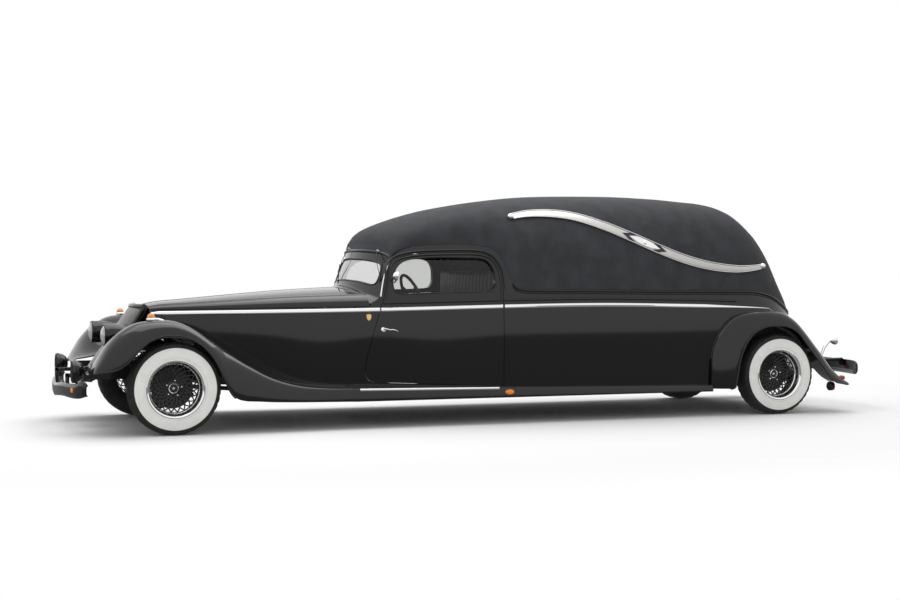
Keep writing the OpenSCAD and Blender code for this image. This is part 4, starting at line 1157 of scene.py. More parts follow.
FENDER_POWER = 2 / 2.3
FENDER_GAP = 3


def follow_body(table):
    """Fills the inner column where a fender lies along the body."""
    rows = table[:, 1] == 0
    filled = table.copy()
    filled[rows, 1] = body_half(table[rows, 0], table[rows, 2]) + FENDER_GAP
    return filled


def rocker_table():
    s = np.array([1402, 1550, 1700, 1900, 2100, 2350, 2600, 2900, 3300, 3900, 4622], float)
    k = (s - 1400) / 3200
    zeros = np.zeros_like(s)
    return np.stack([s, zeros, 316 - 46 * k, 318 - 46 * k, 872 + 8 * k, zeros + 216, zeros + 46],
        -1)


def fender_point(table, aft, w, depth=0.0):
    """Fender skin; w runs from 0 at the body over 1 at the crest to 2 at the lower edge."""
    inner_y, inner_z = curve(table, aft, 1), curve(table, aft, 2)
    crest_z, crest_y = curve(table, aft, 3), curve(table, aft, 4)
    low, tuck = curve(table, aft, 5), curve(table, aft, 6)
    h = np.clip(w, 0, 1)
    t = spread(np.clip(w - 1, 0, 1), 1.15)
    side = FENDER_SIDE - tuck - depth
    top = crest_z - depth
    y = np.where(w < 1, inner_y + (crest_y - inner_y) * h,
        crest_y + (side - crest_y) * np.sin(t) ** FENDER_POWER)
    valley = inner_z - depth
    z = np.where(w < 1, valley + (top - valley) * (1 - np.cos(np.pi * h)) / 2,
        low + (top - low) * np.cos(t) ** FENDER_POWER)
    return np.stack([at(aft) + 0 * y, y, z], -1) * MM


def dense_rows(table, gap):
    stops = [np.linspace(a, b, max(2, int((b - a) / gap) + 1))[:-1]
             for a, b in zip(table[:-1, 0], table[1:, 0])]
    return np.concatenate(stops + [[table[-1, 0]]])


FENDER_COLUMNS = np.concatenate([np.linspace(0, 1, 19)[:-1], np.linspace(1, 2, 27)])


def make_fender(name, table, gap, hand, node=None):
    table = follow_body(table)
    rows = dense_rows(table, gap)

    def skin(aft, w, depth):
        return fender_point(table, aft, w, depth)

    outer, inner = (on_side(rings(skin, rows, FENDER_COLUMNS, depth),
        hand == "right") for depth in (0.0, 10))
    piece = shell(f"{name}_{hand}", outer, inner, PAINT, "body", sharp=55)
    return finish_as(piece, "paint", *([node] if node and hand == "left" else []))


def edge_bead(name, table, first, last, hand, radius=0.007):
    """The rolled bead along a fender's lower edge between two places."""
    table = follow_body(table)
    aft = np.linspace(first, last, 90)
    path = on_side(fender_point(table, aft, np.full_like(aft, 2.0), 3), hand == "right")
    return finish_as(tube(f"{name}_{hand}", path, radius, PAINT, "body", 8), "paint")


ROCKER = rocker_table()
for hand in ("left", "right"):
    front = make_fender("front_fender", FRONT_FENDER, 26, hand, "front_fenders")
    rear = make_fender("rear_fender", REAR_FENDER, 26, hand, "rear_fenders")
    make_fender("rocker", ROCKER, 60, hand, "rockers")
    edge_bead("front_arch_bead", FRONT_FENDER, -590, 450, hand)
    edge_bead("rear_arch_bead", REAR_FENDER, 4818, 5990, hand)
print("front fender triangles:", 2 * len(front.data.polygons))

# %% Fender welt
def welt(name, table, hand, first, last):
    """A thin cord of trim in the seam between a fender and the body."""
    table = follow_body(table)
    aft = np.linspace(first, last, 70)
    path = on_side(fender_point(table, aft, np.zeros_like(aft), -1), hand == "right")
    return finish_as(tube(f"{name}_{hand}", path, 0.006, PLASTIC, "body", 8), "dash_trim")


for hand in ("left", "right"):
    welt("front_fender_welt", FRONT_FENDER, hand, 20, 1400)
    welt("rear_fender_welt", REAR_FENDER, hand, 4630, 5580)

# %% [markdown]
# ## Windscreen header and rear door
#
# A short header closes the space between the windscreen frame and the padded roof. The rear
# door wraps round the tail: paint below the roof's edge, padding above it. Each half is cut
# from the same surfaces as its neighbours, so it closes flush.

# %% Header
header_v = np.linspace(-1, 1, 61)
header_low = cowl_point(header_v * COWL_SCALE, np.full(61, 5.0 * ROW_SCALE), 4)
header_top = roof_point(np.full(61, 1668.0), 1 - header_v, 10)
order = np.argsort(header_low[:, 1])
roof_order = np.argsort(header_top[:, 1])
reach = np.clip(header_low[order, 1], header_top[roof_order, 1].min(),
    header_top[roof_order, 1].max())
upper = np.stack([np.interp(reach, header_top[roof_order, 1],
    header_top[roof_order, k]) for k in range(3)], -1)
lower = header_low[order]
steps = np.linspace(-0.25, 1, 9)[:, None, None]
header_out = lower + (upper - lower) * steps
header_in = header_out - np.array([0.016, 0, 0.004])
finish_as(shell("windscreen_header", header_out, header_in, PAINT, "body"), "paint")


# %% Rear door
def rear_door_lower():
    half = rear_door_outline()
    u = place_of_half(half[:, 0], half[:, 1])
    edge = curve(ROOF_EDGE, station(u)) - 3
    keep = half[:, 1] < edge
    u, z = u[keep], half[:, 1][keep]
    top_u = np.linspace(u[-1], TAIL_MIDDLE, 30)
    top = np.stack([top_u, curve(ROOF_EDGE, station(top_u)) - 3], -1)
    back = line(top[-1], (TAIL_MIDDLE, z[0]), 25)[1:]
    return np.concatenate([np.stack([u, z], -1), top, back])


def rear_door_upper():
    half = rear_door_outline()
    half = half[half[:, 1] > 897]
    u, q = roof_place(half[:, 0], half[:, 1])
    foot = np.stack([np.linspace(TAIL_MIDDLE, u[0], 30), np.zeros(30)], -1)
    top = q[-1] * ROOF_SCALE
    back = line((TAIL_MIDDLE, top), (TAIL_MIDDLE, 0), 25)[1:]
    return np.concatenate([np.stack([u, q * ROOF_SCALE], -1), back, foot[:-1]])


for hand, flip in HANDS:
    low_half = patch(f"rear_door_paint_{hand}", side_point, rear_door_lower(), [], 40, (30, 28),
        PAINT, "rear_door", flip)
    top_half = patch(f"rear_door_padding_{hand}", roof_lift, rear_door_upper(), [], 40, (30, 24),
        PADDING, "rear_door", flip)
    finish_as(low_half, "paint", *(["rear_door"] if hand == "left" else []))
    finish_as(top_half, "vinyl")

middle_z = np.linspace(REAR_DOOR_LOW + 6, REAR_DOOR_TOP - 14, 60)
middle_x = at(curve(REAR, middle_z))
middle = np.stack([middle_x * MM - 0.001, 0 * middle_z, middle_z * MM], -1)
finish_as(tube("rear_door_middle_bead", middle, 0.008, PAINT, "rear_door"), "paint")

# %% Rear door hardware
rear_hinges, rear_ears = [], []
for y in (180, -180):
    rear_hinges.append(lathe("rear_door_barrel",
        [(0, -0.015), (0.007, -0.015), (0.007, 0.015), (0, 0.015)],
        (at(5322) * MM, y * MM, 1.604), (0, 1, 0), CHROME, "rear_door", 20))
    for k in (-1, 1):
        rear_ears.append(lathe("rear_body_barrel",
            [(0, -0.0148), (0.007, -0.0148), (0.007, 0.0148), (0, 0.0148)],
            (at(5322) * MM, (y + k * 30.6) * MM, 1.604), (0, 1, 0), CHROME, "body", 20))
finish_as(join("rear_door_hinges", rear_hinges), "frame_steel")
finish_as(join("rear_body_hinges", rear_ears), "frame_steel")


def tail_x(z):
    return at(curve(REAR, z)) * MM


handle_z = 800
handle = [(tail_x(handle_z) - 0.03, 0.05 * k, handle_z * MM) for k in (-1, -0.5, 0, 0.5, 1)]
rose = lathe("rear_handle_rose", [(0, 0.024), (0.016, 0.022), (0.022, 0.010), (0.024, -0.012),
    (0, -0.012)], (tail_x(handle_z), 0, handle_z * MM), (-1, 0, 0.1), CHROME, "rear_door", 32)
bar = tube("rear_handle_bar", handle, (0.004, 0.006, 0.008, 0.006, 0.004), CHROME, "rear_door")
finish_as(join("rear_door_handle", [rose, bar]), "landau_steel")

# %% [markdown]
# ## Nose
#
# The grille leans back in a black shell. Its bars are narrow upright fins with dark gaps, so
# they are modelled one by one over a dark backing.

# %% Grille
# height, aft of the middle, half width, how far the sides lie aft of the middle
NOSE = np.array([(370, -590, 135, 60), (480, -530, 165, 70), (600, -445, 195, 78),
    (720, -360, 225, 84), (840, -280, 250, 88), (930, -215, 266, 72), (968, -180, 262, 44)],
    float)


def nose_point(z, v, depth=0.0):
    aft, half, lag = curve(NOSE, z), curve(NOSE, z, 2), curve(NOSE, z, 3)
    return np.stack([at(aft + depth + lag * v * v), half * v, z + 0 * v], -1) * MM


nose_z = np.linspace(372, 966, 40)
nose_v = np.linspace(-1, 1, 41)
backing = shell("grille_backing", rings(nose_point, nose_z, nose_v, 14),
    rings(nose_point, nose_z, nose_v, 30), PLASTIC, "body")
finish_as(backing, "grille_metal", "grille_shell")
GRILLE_BARS = 33
bars = []
for k in range(GRILLE_BARS):
    v = -0.90 + 1.80 * k / (GRILLE_BARS - 1)
    z = np.linspace(384, 944 - 14 * v * v, 26)
    bars.append(tube("grille_bar", nose_point(z, np.full_like(z, v), 5), 0.0052, GRILLE, "body",
        6, up=(0, 1, 0), squash=1.5))
finish_as(join("grille_bars", bars), "grille_metal")
frame_parts = []
for side in (-1, 1):
    edge = nose_point(np.linspace(370, 962, 40), np.full(40, 0.965 * side), 6)
    frame_parts.append(tube("grille_side", edge, np.linspace(0.014, 0.020, 40), PAINT, "body", 14,
        up=(0, 1, 0)))
for z, r in ((374, 0.014), (954, 0.022)):
    rail = nose_point(np.full(41, float(z)), nose_v, 6)
    frame_parts.append(tube("grille_rail", rail, r, PAINT, "body", 14))
finish_as(join("grille_surround", frame_parts), "paint")

# %% [markdown]
# ## Lamps
#
# The headlamps are black torpedoes with pale ribbed glass, on short stalks. Bowl-shaped
# driving lamps stand on the bumper. Small faceted amber lamps sit on the fender crests and
# oval ones on the sills.

# %% Headlamps
for hand, side in SIDES:
    place = (at(-465) * MM, side * 0.375, 0.737)
    # (radius, distance behind the face)
    shell_profile = [(0.080, 0.012), (0.086, 0.006), (0.090, 0.014), (0.090, 0.024),
        (0.087, 0.028), (0.0885, 0.034), (0.089, 0.060), (0.086, 0.105), (0.078, 0.150),
        (0.064, 0.200), (0.044, 0.248), (0.020, 0.286), (0, 0.299), (0, 0.28), (0.07, 0.05)]
    can = lathe("headlamp_can", shell_profile, place, (-1, 0, 0), PAINT, "body", 56)
    stalk = lathe("headlamp_stalk", [(0.014, -0.034), (0.018, -0.034), (0.018, -0.026),
        (0.010, -0.010), (0.012, 0.034), (0, 0.036), (0, -0.034)],
        (place[0] - 0.190, place[1], 0.672), (0, 0, 1), PAINT, "body", 28)
    finish_as(join(f"headlamp_{hand}", [can, stalk]), "paint",
              *(["headlamps"] if side == 1 else []))
    lens = lathe(f"headlamp_glass_{hand}", [(0, -0.020), (0.03, -0.017), (0.055, -0.008),
        (0.074, 0.005), (0.081, 0.014), (0.05, 0.022), (0, 0.022)], place, (-1, 0, 0), PALE_LENS,
        "body", 48)
    finish_as(lens, "lamp_shell")
    ring = lathe(f"headlamp_ring_{hand}", [(0.080, 0.009), (0.084, 0.003), (0.0895, 0.009),
        (0.0905, 0.018), (0.085, 0.022)], place, (-1, 0, 0), PAINT, "body", 48)
    finish_as(ring, "paint")

# %% Driving lamps on the bumper
for hand, side in SIDES:
    place = (at(-725) * MM, side * 0.555, 0.472)
    bowl = [(0, 0.006), (0.040, 0.004), (0.066, 0.006), (0.074, 0.010), (0.080, 0.002),
            (0.085, 0.010), (0.085, 0.026), (0.080, 0.032), (0.079, 0.046), (0.070, 0.066),
            (0.052, 0.086), (0.028, 0.097), (0, 0.100)]
    cup = lathe("driving_lamp_bowl", bowl, place, (-1, 0, 0), PAINT, "body", 48)
    ribs = []
    for k in range(-5, 6):
        half = math.sqrt(0.072 ** 2 - (0.0125 * k) ** 2)
        ribs.append(tube("driving_lamp_rib", [(place[0] - 0.003, place[1] + 0.0125 * k,
            place[2] + half * t) for t in (-1, -0.5, 0, 0.5, 1)], 0.0035, PLASTIC, "body", 6))
    stem = lathe("driving_lamp_stem", [(0, -0.105), (0.012, -0.105), (0.012, -0.088),
        (0.009, -0.08), (0.010, -0.066), (0, -0.066)], (place[0] - 0.040, place[1], place[2]),
        (0, 0, 1), PAINT, "body", 20)
    finish_as(join(f"driving_lamp_{hand}", [cup, stem] + ribs), "lamp_shell",
              *(["bumper_lamps"] if side == 1 else []))

# %% Amber lamps
for hand, side in SIDES:
    place = (at(-165) * MM, side * 0.790, 0.876)
    # A faceted bulb: eight flats
    bulb = lathe("fender_lamp_bulb", [(0.027, 0.006), (0.031, 0.014), (0.026, 0.026),
        (0.018, 0.036), (0.007, 0.0405), (0, 0.041), (0, 0.006)], place, (0, 0, 1), AMBER, "body",
        9, sharp=10)
    finish_as(bulb, "amber_lens", *(["marker_lamps"] if side == 1 else []))
    bulb.name = bulb.data.name = f"fender_lamp_{hand}"
    foot = lathe(f"fender_lamp_base_{hand}", [(0, -0.012), (0.034, -0.012), (0.036, -0.004),
        (0.033, 0.004), (0.028, 0.008), (0, 0.008)], place, (0, 0, 1), CHROME, "body", 40)
    finish_as(foot, "landau_steel")
    spear = [(place[0] - 0.03 - 0.05 * t, place[1], 0.872 - 0.006 * t * t)
             for t in (0, 0.5, 1, 1.5, 2)]
    finish_as(tube(f"fender_lamp_spear_{hand}", spear, (0.012, 0.011, 0.009, 0.006, 0.002),
        CHROME, "body", 10, squash=1.3), "landau_steel")
    sill_at = (at(2720) * MM, side * 0.912, 0.262)
    oval = lathe("sill_lamp", [(0, 0.012), (0.010, 0.0115), (0.018, 0.008), (0.022, 0.001),
        (0.022, -0.010), (0, -0.010)], sill_at, (0, side, 0), AMBER, "body", 36)
    for v in oval.data.vertices:
        v.co.x = sill_at[0] + (v.co.x - sill_at[0]) * 1.75
    oval.name = oval.data.name = f"sill_lamp_{hand}"
    finish_as(oval, "amber_lens")

# %% Rear lamps
for hand, side in SIDES:
    stalk_at = np.array([at(5874) * MM, side * 0.800, 0.634])
    cone = lathe("rear_stalk_cone", [(0, -0.004), (0.012, -0.002), (0.020, 0.012), (0.034, 0.034),
        (0.039, 0.052), (0.0385, 0.060), (0.033, 0.061), (0.030, 0.056), (0, 0.056)], stalk_at,
        (-1, 0, 0), CHROME, "body", 40)
    arm = tube("rear_stalk_arm", [stalk_at + (0.0, 0, 0.0), stalk_at + (0.025, 0, -0.022),
        stalk_at + (0.060, 0, -0.062), stalk_at + (0.100, 0.002, -0.150),
        stalk_at + (0.112, 0.004, -0.190)], 0.012, CHROME, "body", 12)
    finish_as(join(f"rear_stalk_lamp_{hand}", [cone, arm]), "landau_steel")
    glass = lathe(f"rear_stalk_glass_{hand}",
        [(0, 0.059), (0.030, 0.057), (0.028, 0.052), (0, 0.052)], stalk_at, (-1, 0, 0), RED,
        "body", 32)
    finish_as(glass, "red_lens", *(["rear_lamps"] if side == 1 else []))
    oval_at = (at(6010) * MM, side * 0.790, 0.296)
    oval = lathe("fender_tail_lamp", [(0, 0.012), (0.012, 0.011), (0.019, 0.007), (0.022, 0.000),
        (0.022, -0.012), (0, -0.012)], oval_at, (0, side, 0), RED, "body", 32)
    for v in oval.data.vertices:
        v.co.x = oval_at[0] + (v.co.x - oval_at[0]) * 1.7
    oval.name = oval.data.name = f"fender_tail_lamp_{hand}"
    finish_as(oval, "red_lens")
    hang_at = (at(5890) * MM, side * 0.760, 0.222)
    can = lathe(f"hanging_lamp_{hand}", [(0, 0.004), (0.034, 0.002), (0.040, 0.008),
        (0.040, 0.034), (0, 0.034)], hang_at, (-1, 0, 0), PLASTIC, "body", 32)
    finish_as(can, "lamp_shell")
    cap = lathe(f"hanging_lamp_glass_{hand}",
        [(0, 0.034), (0.0395, 0.034), (0.0385, 0.046), (0.030, 0.052), (0, 0.053)], hang_at,
        (-1, 0, 0), RED, "body", 32)
    finish_as(cap, "red_lens")
    hook = [(hang_at[0] - 0.02, hang_at[1], hang_at[2] + 0.036),
            (hang_at[0] - 0.018, hang_at[1], hang_at[2] + 0.058),
            (hang_at[0] + 0.004, hang_at[1], hang_at[2] + 0.066)]
    finish_as(tube(f"hanging_lamp_bracket_{hand}", hook, 0.009, CHROME, "body", 10),
              "landau_steel")

# %% [markdown]
# ## Bumpers
#
# Each bumper is a curved blade on two brackets. The front one rises to short wings at its
# ends and dips to a point in the middle.

# %% Bumper blades
BUMPER_PLAN = np.array([(0, 0), (200, 12), (420, 42), (620, 88), (740, 135), (760, 150)], float)
FRONT_LOW = np.array([(0, 255), (300, 275), (640, 275), (760, 300)], float)
FRONT_TOP = np.array([(0, 352), (180, 366), (330, 378), (460, 380), (620, 386), (700, 412),
    (740, 404), (760, 380)], float)
REAR_LOW = np.array([(0, 315), (400, 315), (700, 318), (760, 335)], float)
REAR_TOP = np.array([(0, 440), (400, 440), (700, 437), (760, 420)], float)


def bumper(name, node, tip, sign, low_table, top_table):
    y = np.linspace(-760, 760, 91)
    out = []
    for k in np.linspace(0, 1, 15):
        reach = np.abs(y)
        low, top = curve(low_table, reach), curve(top_table, reach)
        z = low + (top - low) * k
        bulge = 12 * (1 - (2 * k - 1) ** 4)
        x = tip - sign * (curve(BUMPER_PLAN, reach) + 12 - bulge)
        out.append(np.stack([x, y, z], -1))
    out = np.array(out) * MM
    inner = out - np.array([sign * 0.013, 0, 0])
    blade = shell(name, out, inner, PAINT, "body", sharp=60)
    finish_as(blade, "paint", node)


bumper("front_bumper_blade", "front_bumper", 3577, 1, FRONT_LOW, FRONT_TOP)
bumper("rear_bumper_blade", "rear_bumper", -3577, -1, REAR_LOW, REAR_TOP)
# name, back and front, foot and top
IRONS = (("front_iron", 3.397, 3.525, 0.420, 0.450),
         ("front_iron_foot", 3.497, 3.525, 0.330, 0.450),
         ("rear_iron", -3.525, -3.183, 0.420, 0.450),
         ("rear_iron_foot", -3.525, -3.497, 0.380, 0.450))
brackets = [box(name, (back, side * 0.375 - 0.025, foot), (front, side * 0.375 + 0.025, top),
    STEEL, "body") for side in (1, -1) for name, back, front, foot, top in IRONS]
finish_as(join("bumper_irons", brackets), "frame_steel")
for hand, side in SIDES:
    y = side * 0.585
    x = (3577 - float(curve(BUMPER_PLAN, 585)) + 1) * MM
    marker = lathe(f"bumper_marker_{hand}", [(0, 0.010), (0.012, 0.009), (0.018, 0.005),
        (0.020, -0.006), (0, -0.006)], (x, y, 0.335), (1, side * 0.25, 0), AMBER, "body", 24)
    finish_as(marker, "amber_lens")
number_plate = box("rear_number_plate", (-3.5845, -0.16, 0.335), (-3.5800, 0.16, 0.420), WHITEWALL,
            "body", 0.0015)
finish_as(number_plate, "paint")

# %% [markdown]
# ## Landau bars and bright trim
#
# The landau bar is a long S of brushed metal with a thin bright rim on each edge. It swells
# at its middle, where a plain diamond lies between two black chevrons, and ends in balls.

# %% Landau bars
LANDAU = np.array([
    (2840, 1690), (2990, 1716), (3200, 1722), (3400, 1700), (3650, 1626), (3900, 1530),
    (4150, 1430), (4400, 1345), (4650, 1290), (4900, 1268), (5080, 1278), (5190, 1292)], float)
LANDAU_WIDTH = np.array([(0, 40), (0.15, 62), (0.35, 74), (0.5, 78), (0.65, 74), (0.85, 62),
    (1, 36)], float)
landau_line = smooth_outline(LANDAU, 12, closed=False)
landau_run = np.concatenate([[0], np.cumsum(np.linalg.norm(np.diff(landau_line, axis=0),
    axis=1))])
LANDAU_LENGTH = landau_run[-1]


def roof_at(aft, z, out=0.0):
    """Point on the roof's left side seen from beside, moved out along the surface."""
    u, goal = aft.copy(), z
    for _ in range(7):
        low, high = np.zeros_like(u), np.full_like(u, 0.999)
        for _ in range(34):
            q = (low + high) / 2
            up = roof_point(u, q)[:, 2] / MM < goal
            low, high = np.where(up, q, low), np.where(up, high, q)
        u = u + (aft - at(roof_point(u, q)[:, 0] / MM)) * 0.9
    return roof_point(u, q, -out)


def landau_point(t, side):
    """Along the bar (0 to 1) and across it (-1 to 1), flat in the side view."""
    run = t * LANDAU_LENGTH
    aft = np.interp(run, landau_run, landau_line[:, 0])
    z = np.interp(run, landau_run, landau_line[:, 1])
    step = 6.0
    da = (np.interp(run + step, landau_run, landau_line[:, 0])
          - np.interp(run - step, landau_run, landau_line[:, 0]))
    dz = (np.interp(run + step, landau_run, landau_line[:, 1])
          - np.interp(run - step, landau_run, landau_line[:, 1]))
    size = np.hypot(da, dz)
    half = curve(LANDAU_WIDTH, t) / 2
    return aft - dz / size * half * side, z + da / size * half * side


def landau_surface(t, side, out):
    shape = t.shape
    aft, z = landau_point(t.ravel(), side.ravel())
    return roof_at(aft, z, out).reshape(*shape, 3)


t_rows, side_rows = np.meshgrid(np.linspace(0.008, 0.992, 150), np.linspace(-1, 1, 13),
    indexing="ij")
bar_low = landau_surface(t_rows, side_rows, 3.0)
bar_high = landau_surface(t_rows, side_rows, 12.0)
crown = 0.2 * (1 - side_rows ** 2)[..., None]
bar_top = bar_high + (bar_high - bar_low) * crown
edge_t = np.linspace(0.008, 0.992, 150)[:, None]
# The inner pair of paths, at 0.80 of the half width, carries the black cords of painted groove shade.
rims, groove_shade_paths = ([landau_surface(edge_t, np.full((150, 1), share), out)[:,
    0] for share in (-rim, rim)] for rim, out in ((0.96, 12.5), (0.80, 12.6)))
ball_ends = [landau_surface(np.array([[t]]), np.zeros((1, 1)), 12.0)[0, 0] for t in (0.0, 1.0)]


def badge_piece(name, outline, out, thickness, material, flip):
    """Lifts an outline in bar coordinates: mm along from the middle, share across."""
    flat = np.array(outline, float)
    t, across = 0.5 + flat[:, :1] / LANDAU_LENGTH, flat[:, 1:]
    points = np.concatenate([landau_surface(t, across, height)[:, 0] for height in (out,
        out - thickness)])
    return fix_facing(make_object(name, on_side(points, flip), prism_faces(len(flat)), material,
        "body", sharp=20))


def chevron(tip, arm, thick, sign):
    """A pointed V across the bar, from the middle outward."""
    return [(sign * (tip - arm), -0.74), (sign * (tip - arm * 0.5), -0.37), (sign * tip, 0),
            (sign * (tip - arm * 0.5), 0.37), (sign * (tip - arm), 0.74),
            (sign * (tip - arm - thick), 0.74), (sign * (tip - arm * 0.5 - thick), 0.37),
            (sign * (tip - thick), 0), (sign * (tip - arm * 0.5 - thick), -0.37),
            (sign * (tip - arm - thick), -0.74)]


DIAMOND = [(-150, 0), (-100, 0.34), (-55, 0.62), (0, 0.70), (55, 0.62), (100, 0.34), (150, 0),
           (100, -0.34), (55, -0.62), (0, -0.70), (-55, -0.62), (-100, -0.34)]

for hand, flip in HANDS:
    bar = shell(f"landau_bar_{hand}", on_side(bar_top, flip), on_side(bar_low, flip), BRUSHED,
                "body", sharp=60)
    finish_as(bar, "landau_steel", *(["landau_bars"] if not flip else []))
    lines = [tube("landau_rim", on_side(p, flip), 0.0042, CHROME, "body", 8)
             for p in rims]
    for p in ball_ends:
        centre = on_side(p, flip)
        lines.append(lathe("landau_ball", [(0, 0.026), (0.012, 0.024), (0.022, 0.016),
            (0.027, 0.004), (0.026, -0.008), (0.018, -0.014), (0, -0.014)], centre,
            (0, -1 if flip else 1, 0.35), CHROME, "body", 36))
    finish_as(join(f"landau_rims_{hand}", lines), "landau_steel")
    # Black cords half sunk along each side of the bar are painted shade: they stand for the shadow in
    # a cut groove, which is not modelled as a recess.
    groove_shade_and_chevrons = [tube("landau_groove_shade", on_side(p, flip), 0.0016, PLASTIC, "body", 5)
               for p in groove_shade_paths]
    for sign in (-1, 1):
        groove_shade_and_chevrons.append(badge_piece("landau_chevron", chevron(215, 70, 62, sign), 15.2, 3, PLASTIC,
            flip))
    finish_as(join(f"landau_groove_shade_and_chevrons_{hand}", groove_shade_and_chevrons), "dash_trim")
    finish_as(badge_piece(f"landau_diamond_{hand}", DIAMOND, 16.5, 4, CHROME, flip),
              "landau_steel")
    boss_at = on_side(landau_surface(np.array([[0.5]]), np.zeros((1, 1)), 15)[0, 0], flip)
    boss = lathe(f"landau_boss_{hand}", [(0, 0.010), (0.010, 0.008), (0.017, 0.003),
        (0.019, -0.003), (0, -0.003)], boss_at, (0, -1 if flip else 1, 0.45), CHROME, "body", 32)
    finish_as(boss, "landau_steel")

# %% Belt line and beads
BELT_LINE = np.array([(-94, 901), (0, 903), (740, 914), (1670, 931), (2700, 955), (3570, 965),
    (4400, 953), (4800, 942), (5100, 922)], float)
belt_end = float(place_of_aft(5290, 913))
BELT_LINE = np.vstack([BELT_LINE, (belt_end, 905)])


def side_strip(name, u, z, height, proud, material, body, flip):
    """A rounded strip of trim laid along the body's side."""
    k = np.linspace(-1, 1, 9)
    uu = np.repeat(u[:, None], 9, 1)
    zz = z[:, None] + k * height[:, None] / 2
    rise = proud * (1 - np.abs(k) ** 3) ** 0.5 * np.minimum(1, height[:, None] / height.max())
    outer = on_side(side_point(uu, zz, -0.6 - rise), flip)
    inner = on_side(side_point(uu, zz, 1.5), flip)
    return shell(name, outer, inner, material, body, sharp=45)


def front_edge_of_door(z):
    """Where the door's leading edge lies at a height."""
    edge = np.array(DOOR_CURVE[3:12], float)
    return float(np.interp(z, edge[:, 1], edge[:, 0]))


for hand, flip in HANDS:
    door = f"{hand}_door"
    gap = 6
    split = front_edge_of_door(931)
    runs = (("front", -84, split - gap, "body"), ("door", split + gap - 2, 2698, door),
            ("rear", 2714, belt_end, "body"))
    for part, start, end, body in runs:
        u = np.linspace(start, end, max(8, int((end - start) / 30)))
        height = np.interp(u, (-84, -20, belt_end - 520, belt_end), (18, 35, 35, 3))
        strip = side_strip(f"belt_strip_{part}_{hand}", u, curve(BELT_LINE, u), height, 7, CHROME,
            body, flip)
        finish_as(strip, "landau_steel")
    bead_split = front_edge_of_door(985)
    for part, start, end, body in (("door", bead_split + 8, 2698, door),
            ("rear", 2714, belt_end - 260, "body")):
        u = np.linspace(start, end, max(8, int((end - start) / 30)))
        height = np.full_like(u, 22.0)
        bead = side_strip(f"belt_bead_{part}_{hand}", u, curve(BELT_LINE, u) + 52, height, 6,
            PAINT, body, flip)
        finish_as(bead, "paint")
    sill = fender_point(follow_body(ROCKER), np.linspace(1450, 2632, 60), np.full(60, 1.36), -2)
    finish_as(tube(f"sill_strip_{hand}", on_side(sill, flip), 0.0115, CHROME, "body", 12, squash=0.7),
              "landau_steel")

# %% Handles, shields, pillar strips and mirrors
SHIELD = [(0, -19), (7, -14), (12, -5), (13, 6), (12.5, 16), (6, 15), (0, 18), (-6, 15),
          (-12.5, 16), (-13, 6), (-12, -5), (-7, -14)]


def surface_normal(u, z):
    a = side_point(np.array(float(u)), np.array(float(z)), 0.0)
    b = side_point(np.array(float(u)), np.array(float(z)), -1.0)
    n = b - a
    n[2] = 0.0003
    return a, n / np.linalg.norm(n)


for hand, side in SIDES:
    door, flip = f"{hand}_door", side < 0
    spot, out = surface_normal(1702, 770)
    spot, out = on_side(spot, flip), on_side(out, flip)
    rose = lathe("handle_rose", [(0, 0.014), (0.012, 0.013), (0.019, 0.010), (0.023, 0.004),
        (0.024, -0.002), (0, -0.002)], spot, out, CHROME, door, 36)
    stem = tube("handle_stem", [spot, spot + out * 0.02, spot + out * 0.036], 0.007, CHROME,
                door, 12)
    lever = tube("handle_lever", [spot + out * 0.036 + np.array([-0.112 * t, 0, drop]) for t,
        drop in ((-0.08, 0.0), (0.1, -0.002), (0.35, -0.010), (0.6, -0.008), (0.85, -0.014),
        (1, -0.024))], (0.006, 0.0075, 0.006, 0.006, 0.005, 0.003), CHROME, door, 12)
    finish_as(join(f"door_handle_{hand}", [rose, stem, lever]), "landau_steel")

    outline = smooth_outline([(1586 + 1.4 * a, 872 + 1.4 * b) for a, b in SHIELD], 3)
    shield = patch(f"plain_shield_{hand}", lambda u, v, d: side_point(u, v, d - 4), outline, [],
        4, (6, 6), GOLD, "body", flip)
    finish_as(shield, "landau_steel")

    pillar = smooth_outline([(1700, 1036), (1713, 1110), (1736, 1200), (1768, 1284)], 12, False)
    strip = on_side(side_point(pillar[:, 0] - 16, pillar[:, 1], -2), flip)
    finish_as(tube(f"pillar_strip_{hand}", strip, 0.006, CHROME, "body", 10), "landau_steel")

    spot, out = surface_normal(1800, 1150)
    spot, out = on_side(spot, flip), on_side(out, flip)
    head = spot + out * 0.060 + np.array([0, 0, 0.035])
    shell_piece = lathe("mirror_shell", [(0, 0.034), (0.016, 0.031), (0.030, 0.020),
        (0.037, 0.006), (0.038, -0.004), (0.034, -0.006), (0, -0.005)], head, (1, 0, 0.1), CHROME,
        door, 36)
    arm = tube("mirror_arm", [spot, spot + out * 0.03 + np.array([0, 0, 0.004]),
        head - np.array([0, 0, 0.02])], 0.006, CHROME, door, 12)
    finish_as(join(f"door_mirror_{hand}", [shell_piece, arm]), "landau_steel")

# %% Wipers
wipers, wiper_blades = [], []
for y, tip_a, tip_row in ((0.47, 486, 3.45), (-0.10, -120, 3.1)):
    pivot = np.array([np.interp(y, upper[:, 1], upper[:, k]) for k in range(3)])
    pivot += np.array([0.010, 0, -0.004])
    tip = cowl_point(np.array(float(tip_a)), np.array(tip_row * ROW_SCALE), -14)
    knee = (pivot + tip) / 2 + np.array([0.020, 0, 0.008])
    wipers.append(lathe("wiper_cap", [(0, 0.016), (0.008, 0.014), (0.010, 0.004), (0.011, -0.012),
        (0, -0.012)], pivot, (1, 0, 0.6), BRUSHED, "body", 20))
    wipers.append(tube("wiper_arm", [pivot + (0.012, 0, 0.004), knee, tip],
        (0.0036, 0.0030, 0.0022), PLASTIC, "body", 8))
    along = np.array([-0.10, 0.03, 1.0])
    wiper_blades.append(tube("wiper_blade", [tip - along * 0.085, tip, tip + along * 0.085],
        (0.003, 0.005, 0.003), PLASTIC, "body", 8))
finish_as(join("wiper_arms", wipers), "landau_steel")
finish_as(join("wiper_blades", wiper_blades), "dash_trim")

